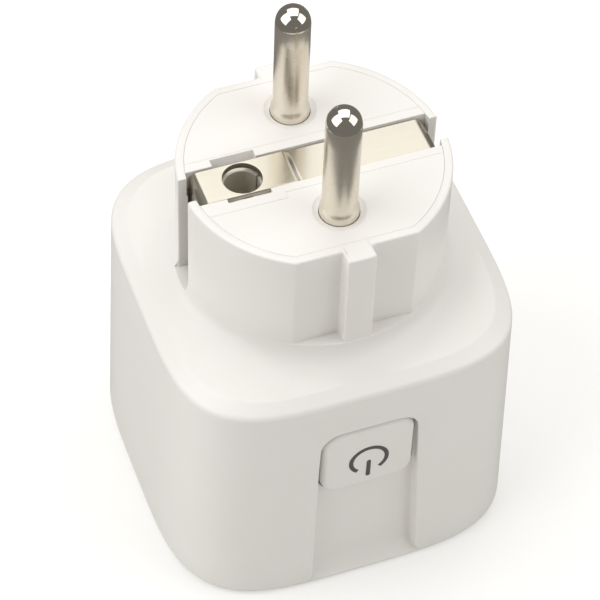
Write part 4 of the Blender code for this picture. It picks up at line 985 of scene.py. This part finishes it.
def moulded_resin(name, colour, roughness, grain_mm, strength, spread=0.86):
    """A moulded, dipped or fired resin or clay: fine grain in its tone, gloss and surface."""
    found, tree, shader, place = new_material(name, colour, roughness)
    skin = add_node(tree, "ShaderNodeTexNoise", {"Scale": 1 / (grain_mm * MM), "Detail": 3.0}, Vector=place)
    dark = (*(c * spread for c in linear(colour)[:3]), 1.0)
    tint(tree, shader, skin.outputs["Fac"], dark, linear(colour))
    roughen(tree, shader, skin.outputs["Fac"], roughness - 0.06, roughness + 0.06, strength, 0.03)
    return found


# Acetal is a slippery cream resin; the cover's polycarbonate is harder and greyer.
dress("shutter", moulded_resin("acetal_moulded", "E9E4D8", 0.42, 0.4, 0.15, 0.95))
dress("shutter_cover", moulded_resin("polycarbonate_moulded", "D9D6CF", 0.36, 0.4, 0.12, 0.95))


# ------------------------------------------------------------------------ shutter spring
# A compression spring of bright music wire that pushes the shutter shut.  It lies between
# the shutter and a stop on the cover.

SPRING_TURNS = 7.0
SPRING_WIRE = 0.3
spring_low, spring_high = span("shutter_spring")
SPRING_LEVEL = (spring_low.z + spring_high.z) / 2
SPRING_RADIUS = (spring_high.z - spring_low.z - SPRING_WIRE) / 2
SPRING_LENGTH = spring_high.x - spring_low.x


def new_tree(name, **kinds):
    """A tree that takes and gives geometry, its named inputs, and what they supply."""
    tree = bpy.data.node_groups.new(name, "GeometryNodeTree")
    for way in ("INPUT", "OUTPUT"):
        tree.interface.new_socket("Geometry", in_out=way, socket_type="NodeSocketGeometry")
    sockets = {key: tree.interface.new_socket(key, in_out="INPUT", socket_type="NodeSocket" + kind)
               for key, kind in kinds.items()}
    return tree, sockets, add_node(tree, "NodeGroupInput").outputs


def grow(name, points, tree, sockets, sharp=40, **values):
    """Run a tree on a set of points with its inputs set, and keep the result as a plain mesh."""
    shape = bmesh.new()
    for point in points:
        shape.verts.new(point)
    piece = make_piece(name, shape)
    modifier = piece.modifiers.new(tree.name, "NODES")
    modifier.node_group = tree
    for key, value in values.items():
        modifier[sockets[key].identifier] = value
    return settle(piece, sharp)


def finish_tree(tree, geometry, material):
    real = add_node(tree, "GeometryNodeRealizeInstances", Geometry=geometry)
    painted = add_node(tree, "GeometryNodeSetMaterial", Geometry=real.outputs["Geometry"], Material=material)
    add_node(tree, "NodeGroupOutput", Geometry=painted.outputs["Geometry"])


coil_tree, coil_sockets, given = new_tree("coil", Turns="Float", Radius="Float", Length="Float",
                                          WireRadius="Float", Turn="Vector", Place="Vector",
                                          Finish="Material")
spiral = add_node(coil_tree, "GeometryNodeCurveSpiral", {"Resolution": 24}, Rotations=given["Turns"],
                  Height=given["Length"], **{"Start Radius": given["Radius"], "End Radius": given["Radius"]})
wire_section = add_node(coil_tree, "GeometryNodeCurvePrimitiveCircle", {"Resolution": 10},
                        Radius=given["WireRadius"])
tube = add_node(coil_tree, "GeometryNodeCurveToMesh", {"Fill Caps": True}, Curve=spiral.outputs["Curve"],
                **{"Profile Curve": wire_section.outputs["Curve"]})
laid = add_node(coil_tree, "GeometryNodeTransform", Geometry=tube.outputs["Mesh"],
                Translation=given["Place"], Rotation=given["Turn"])
finish_tree(coil_tree, laid.outputs["Geometry"], given["Finish"])


def coil(name, turns, radius, length, wire, place, turn, finish):
    """A coil of round wire; its sizes and the middle of its first turn are in millimetres."""
    return grow(name, [(0, 0, 0)], coil_tree, coil_sockets, Turns=turns, Radius=radius * MM,
                Length=length * MM, WireRadius=wire / 2 * MM, Place=[c * MM for c in place],
                Turn=turn, Finish=finish)


# Drawn music wire is bright grey; die lines along it are too fine to see, so its grain is
# a tenth of a millimetre.
music_wire = metal("music_wire_drawn", "B9BCC0", 0.28, 0.1, (1, 1, 1), 0.1)
spring = coil("shutter_spring_coil", SPRING_TURNS, SPRING_RADIUS, SPRING_LENGTH - SPRING_WIRE, SPRING_WIRE,
              (spring_low.x + SPRING_WIRE / 2, 0.0, SPRING_LEVEL), (0.0, pi / 2, 0.0), music_wire)
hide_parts("shutter_spring")
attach(spring, "body")
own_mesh(spring)


# -------------------------------------------------------------- contacts, bracket and bars
# Live and neutral spring contacts, the bars from the pins to the board and the earth
# bracket with its two clips: all stamped from brass strip and bent, then pressed in place.

for node in ("live_contact", "neutral_contact", "socket_earth_bracket", "live_busbar", "neutral_busbar"):
    dress(node, brass_strip)


# -------------------------------------------------------------------------------- boards
# Glass-epoxy boards under solder mask: the round power board on its posts, the upright
# control board behind the button, and the radio module's small blue board.

WEAVE_MM = 0.8                      # glass cloth shows through the mask at this spacing
WAVE_STEP = 0.314                   # how far apart a wave texture's bands lie at scale 1


def laminate(name, colour, dark):
    """Solder mask over woven glass: a faint square weave, semi-gloss."""
    found, tree, shader, place = new_material(name, colour, 0.38)
    total = None
    for direction in ("X", "Y", "Z"):
        wave = add_node(tree, "ShaderNodeTexWave", {
            "wave_type": "BANDS", "bands_direction": direction, "Scale": WAVE_STEP / (WEAVE_MM * MM),
            "Distortion": 0.4}, Vector=place).outputs["Fac"]
        total = wave if total is None else add_node(
            tree, "ShaderNodeMath", {"operation": "ADD"}, _0=total, _1=wave).outputs[0]
    share = add_node(tree, "ShaderNodeMapRange", {1: 0.0, 2: 3.0}, Value=total).outputs["Result"]
    tint(tree, shader, share, linear(dark), linear(colour))
    bump = add_node(tree, "ShaderNodeBump", {"Strength": 0.15, "Distance": 0.02 * MM}, Height=share)
    tree.links.new(bump.outputs["Normal"], shader.inputs["Normal"])
    return found


green_board = laminate("glass_epoxy_green_mask", "1F6B3A", "17542D")
dress("power_board", green_board)
dress("control_board", green_board)
dress("radio_module", laminate("glass_epoxy_blue_mask", "15314F", "10263E"))


# ------------------------------------------------------------------------- solder joints
# Domed joints of tin solder under the power board, one round each leg of the relay and of
# the capacitors, the varistor and the film capacitor.

JOINT_RADIUS = 0.7
JOINT_HEIGHT = 0.8
JOINT_PLACES = [(-4.4, 4.0), (-4.4, -4.0), (3.0, 4.0), (3.0, -4.0), (7.2, 9.6), (9.4, 9.6),
                (-6.6, 11.4), (-4.4, 11.4), (6.2, -9.8), (9.6, -9.8), (-7.0, -12.2), (-4.4, -12.2)]

copies_tree, copies_sockets, given = new_tree("copies", Part="Object", Turn="Vector", Finish="Material")
part_info = add_node(copies_tree, "GeometryNodeObjectInfo", Object=given["Part"])
placed = add_node(copies_tree, "GeometryNodeInstanceOnPoints", Points=given["Geometry"],
                  Instance=part_info.outputs["Geometry"], Rotation=given["Turn"])
finish_tree(copies_tree, placed.outputs["Instances"], given["Finish"])


def copies(name, part, points, turn, finish):
    """One plain mesh with a copy of a part at each point; the part itself is then dropped."""
    piece = grow(name, points, copies_tree, copies_sockets, Part=part, Turn=turn, Finish=finish)
    mesh = part.data
    bpy.data.objects.remove(part)
    bpy.data.meshes.remove(mesh)
    return piece


# Reflowed tin is bright, with a frosting of crystals about a quarter of a millimetre.
solder_tin = metal("tin_solder_frosted", "C6C7C9", 0.25, 0.25, (1, 1, 1), 0.3)
dome = [(JOINT_RADIUS * r, JOINT_HEIGHT * h) for r, h in
        ((1.0, 0.0), (0.95, 0.12), (0.7, 0.35), (0.45, 0.62), (0.32, 0.88), (0.12, 1.0))]
joint_level = span("power_board")[0].z
joints = copies("board_solder_joints", make_piece("joint", turned(dome, count=20)),
                [(x, y, joint_level) for x, y in JOINT_PLACES], (pi, 0.0, 0.0), solder_tin)
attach(joints, "body")


# ---------------------------------------------------------------------- board components
# What stands on the boards: relay, capacitors, varistor, resistor, chips, header, lamp and
# the radio's shield can.  They are soldered by their legs, and each has its own material.


CAN_RIM = 0.35                      # how much of the can's top the sleeve leaves bare
CAN_STRIPE = 0.7
CAN_METAL = "C4C6C8"
CAN_PALE = "C9CCD0"


def sleeved_can(node, name, sleeve):
    """An aluminium can in a shrunk PET sleeve: bare metal on top, a pale stripe on one side."""
    low, high = span(node)
    found, tree, shader, place = new_material(name, sleeve, 0.3)
    axes = add_node(tree, "ShaderNodeSeparateXYZ", Vector=place).outputs
    bare = add_node(tree, "ShaderNodeMath", {"operation": "GREATER_THAN", 1: (high.z - CAN_RIM) * MM},
                    _0=axes["Z"]).outputs[0]
    pale = add_node(tree, "ShaderNodeMath", {"operation": "LESS_THAN", 1: (low.x + CAN_STRIPE) * MM},
                    _0=axes["X"]).outputs[0]
    striped = add_node(tree, "ShaderNodeMix", {"data_type": "RGBA", 6: linear(sleeve), 7: linear(CAN_PALE)},
                       Factor=pale).outputs[2]
    tone = add_node(tree, "ShaderNodeMix", {"data_type": "RGBA", 7: linear(CAN_METAL)},
                    Factor=bare, _6=striped)
    tree.links.new(tone.outputs[2], shader.inputs["Base Color"])
    tree.links.new(bare, shader.inputs["Metallic"])
    return found


for node, name, sleeve in (("bulk_capacitor", "pet_sleeve_over_aluminium_bulk", "1E2430"),
                           ("output_capacitor", "pet_sleeve_over_aluminium_output", "23303F")):
    dress(node, sleeved_can(node, name, sleeve))

for node, name, *look in (
        # glass-filled PBT cases: satin, close-grained; the relay's is near black, the film's ochre
        ("relay", "pbt_relay_case", "2A2D33", 0.4, 0.3, 0.2),
        ("film_capacitor", "pbt_film_capacitor_box", "C9A23B", 0.42, 0.35, 0.2),
        # a disc dipped in blue epoxy: glossy and uneven, like enamel
        ("varistor", "epoxy_dip_blue", "2C4A7C", 0.3, 0.9, 0.35),
        # a coat of cement, matt and sandy
        ("fuse_resistor", "cement_coated_resistor", "7F8A86", 0.65, 0.2, 0.4),
        # pressed and fired ferrite: dull brown-black with a fine gritty face
        ("power_inductor", "ferrite_pressed", "3A3532", 0.55, 0.15, 0.4),
        # nylon and silicone, moulded smooth: milky, and softly glossy
        ("tact_plunger", "nylon_moulded_plunger", "D8D4CA", 0.45, 0.3, 0.15, 0.95),
        ("indicator_led", "silicone_lens_milky", "E8E6DA", 0.2, 0.5, 0.05, 0.95)):
    dress(node, moulded_resin(name, *look))

# Black epoxy moulding compound, matt and finely pitted, as on every chip.
black_resin = moulded_resin("epoxy_moulding_black", "1C1C1E", 0.5, 0.15, 0.3)
for node in ("power_converter_chip", "bridge_rectifier", "board_header", "tact_switch"):
    dress(node, black_resin)

# Tin plate keeps faint rolling lines under a cool shine.
dress("radio_shield", metal("tin_plate_stamped", "BFC1C4", 0.3, 0.2, (20, 1, 1), 0.15))


# -------------------------------------------------------------------- inductor's winding
# One layer of enamelled copper wire round the waist of the drum core, its ends soldered to
# the feet under it.

WINDING_WIRE = 0.25
WINDING_TURNS = 10.0
inductor_low, inductor_high = span("power_inductor")
WAIST_LOW = inductor_low.z + 1.05
WAIST_DEPTH = 0.6
WIRE_GAP = 0.01
WAIST_RADIUS = (inductor_high.x - inductor_low.x) / 2 - WAIST_DEPTH

# Copper under clear enamel: deep orange, with a gloss drawn out along the turns.
enamelled_copper = metal("copper_wire_enamelled", "B0632F", 0.25, 0.2, (1, 1, 20), 0.1)
winding = coil("inductor_winding", WINDING_TURNS, WAIST_RADIUS + WINDING_WIRE / 2 + WIRE_GAP,
               WINDING_TURNS * (WINDING_WIRE + WIRE_GAP), WINDING_WIRE,
               ((inductor_low.x + inductor_high.x) / 2, 0.0, WAIST_LOW + WINDING_WIRE / 2),
               (0.0, 0.0, 0.0), enamelled_copper)
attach(winding, "body")


# -------------------------------------------------------------------------------- screws
# Four long self-tapping screws hold the two mouldings together and two short ones hold the
# power board: zinc-plated steel, pan heads with a cross recess, rolled threads.

CASE_SHANK = 1.2
CASE_HEAD = 2.3
CASE_PITCH = 1.5
BOARD_SHANK = 0.9
BOARD_HEAD = 1.7
BOARD_PITCH = 1.0
CORE_SHARE = 0.72                   # the core's radius, as a share of the thread's
RIDGE_SHARE = 0.24                  # half the ridge's foot, as a share of the pitch
SCREW_POINT = (1.2, 0.12)           # its length and its end's radius

# Zinc plate is a cool grey with a fine sparkle, about a seventh of a millimetre.
zinc_steel = metal("steel_zinc_plated", "A9ABAE", 0.3, 0.15, (1, 1, 1), 0.15)


def screw_part(name, shank, head, length, pitch):
    """A screw that stands on its head, with a helical thread and a tapered cross recess."""
    height = head * 0.5
    core = shank * CORE_SHARE
    point_length, point_radius = SCREW_POINT
    count = 24
    rings = []
    for r, z in ((head * 0.8, 0.0), (head * 0.93, height * 0.12), (head, height * 0.4), (head, height * 0.9),
                 (head - 0.1, height), (core + 0.1, height), (core, height + 0.1)):
        rings.append(level_ring(circle(r, count), z))
    for z in steps(height + 0.3, length - 0.1, int((length - height) / pitch * 8)):
        point = min((length - z) / point_length, 1.0)
        start = min((z - height) / 1.0, 1.0)
        ring = []
        for i in range(count):
            turn = 2 * pi * i / count
            phase = (z / pitch - i / count) % 1.0
            ridge = max(1 - abs(phase - 0.5) / RIDGE_SHARE, 0.0) * start
            radius = (core + (shank - core) * ridge) * point + point_radius * (1 - point)
            ring.append((radius * cos(turn), radius * sin(turn), z))
        rings.append(ring)
    screw = make_piece(name, loft(rings))
    crosses = []
    for z, arm, half in ((-0.5, head * 0.62, 0.34), (height * 0.75, head * 0.4, 0.18)):
        quarter = [(half, -arm), (half, -half), (arm, -half), (arm, half), (half, half), (half, arm)]
        crosses.append(level_ring(quarter + [(-x, -y) for x, y in quarter], z))
    return carve(screw, [loft(crosses)])


case_part = screw_part("case_screw_part", CASE_SHANK, CASE_HEAD, screw_high.z - screw_low.z, CASE_PITCH)
case_screws = copies("case_screws", case_part, [(x, y, screw_low.z) for x, y in screw_places],
                     (0.0, 0.0, 0.0), zinc_steel)
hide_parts(*(f"case_screw_{i}" for i in range(1, 5)))
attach(case_screws, "body")

short_low, short_high = span("board_screw_1")
board_part = screw_part("board_screw_part", BOARD_SHANK, BOARD_HEAD, short_high.z - short_low.z, BOARD_PITCH)
board_screws = copies("board_screws", board_part, [(x, y, short_high.z) for x, y in post_places],
                      (pi, 0.0, 0.0), zinc_steel)
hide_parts("board_screw_1", "board_screw_2")
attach(board_screws, "body")


# ------------------------------------------------------------------------------- studio
# A pale floor and three square softboxes in a grey room: one on the left, one above and
# behind, and a weaker one on the right in front.

FLOOR_WHITE = "DCDCDA"
FLOOR_GLOW = 0.36
ROOM_GREY = "868481"
OBJECT_MIDDLE = Vector((0.0, 0.0, 0.05))

floor_mesh = bpy.data.meshes.new("floor")
floor_mesh.from_pydata([(-3, -3, 0), (3, -3, 0), (3, 3, 0), (-3, 3, 0)], [], [(0, 1, 2, 3)])
floor = bpy.data.objects.new("floor", floor_mesh)
floor.location.z = -0.0002
bpy.context.collection.objects.link(floor)
# A sweep of matt paper, lit from below as well, so that it stays white.
floor_paper, _, floor_shader, _ = new_material("paper_sweep", FLOOR_WHITE, 0.9)
floor_shader.inputs["Emission Color"].default_value = linear(FLOOR_WHITE)
floor_shader.inputs["Emission Strength"].default_value = FLOOR_GLOW
floor_mesh.materials.append(floor_paper)
floor.visible_glossy = False

world = bpy.data.worlds.new("room")
world.use_nodes = True
world.node_tree.nodes["Background"].inputs["Color"].default_value = linear(ROOM_GREY)
world.node_tree.nodes["Background"].inputs["Strength"].default_value = 1.0
bpy.context.scene.world = world


def softbox(name, azimuth, elevation, distance, size, power):
    """A square area light that faces the object."""
    data = bpy.data.lights.new(name, "AREA")
    data.shape = "SQUARE"
    data.size = size
    data.energy = power
    light = bpy.data.objects.new(name, data)
    a = radians(azimuth)
    e = radians(elevation)
    aim = Vector((cos(a) * cos(e), sin(a) * cos(e), sin(e)))
    light.location = OBJECT_MIDDLE + aim * distance
    light.rotation_euler = aim.to_track_quat("Z", "Y").to_euler()
    bpy.context.collection.objects.link(light)


softbox("softbox_left", 178, 37, 0.8, 0.85, 4.6)
softbox("softbox_back", 75, 71, 0.8, 0.9, 4.6)
softbox("softbox_right", -30, 34, 0.8, 0.7, 2.6)

camera_data = bpy.data.cameras.new("camera")
camera_data.lens = 167.304
camera_data.sensor_width = 36.0
camera = bpy.data.objects.new("camera", camera_data)
camera.location = (-0.09370976, -0.23117266, 0.33406364)
camera.rotation_euler = [radians(a) for a in (39.42516, -1.55386, -19.92625)]
bpy.context.collection.objects.link(camera)
bpy.context.scene.camera = camera
bpy.context.scene.view_settings.view_transform = "Standard"
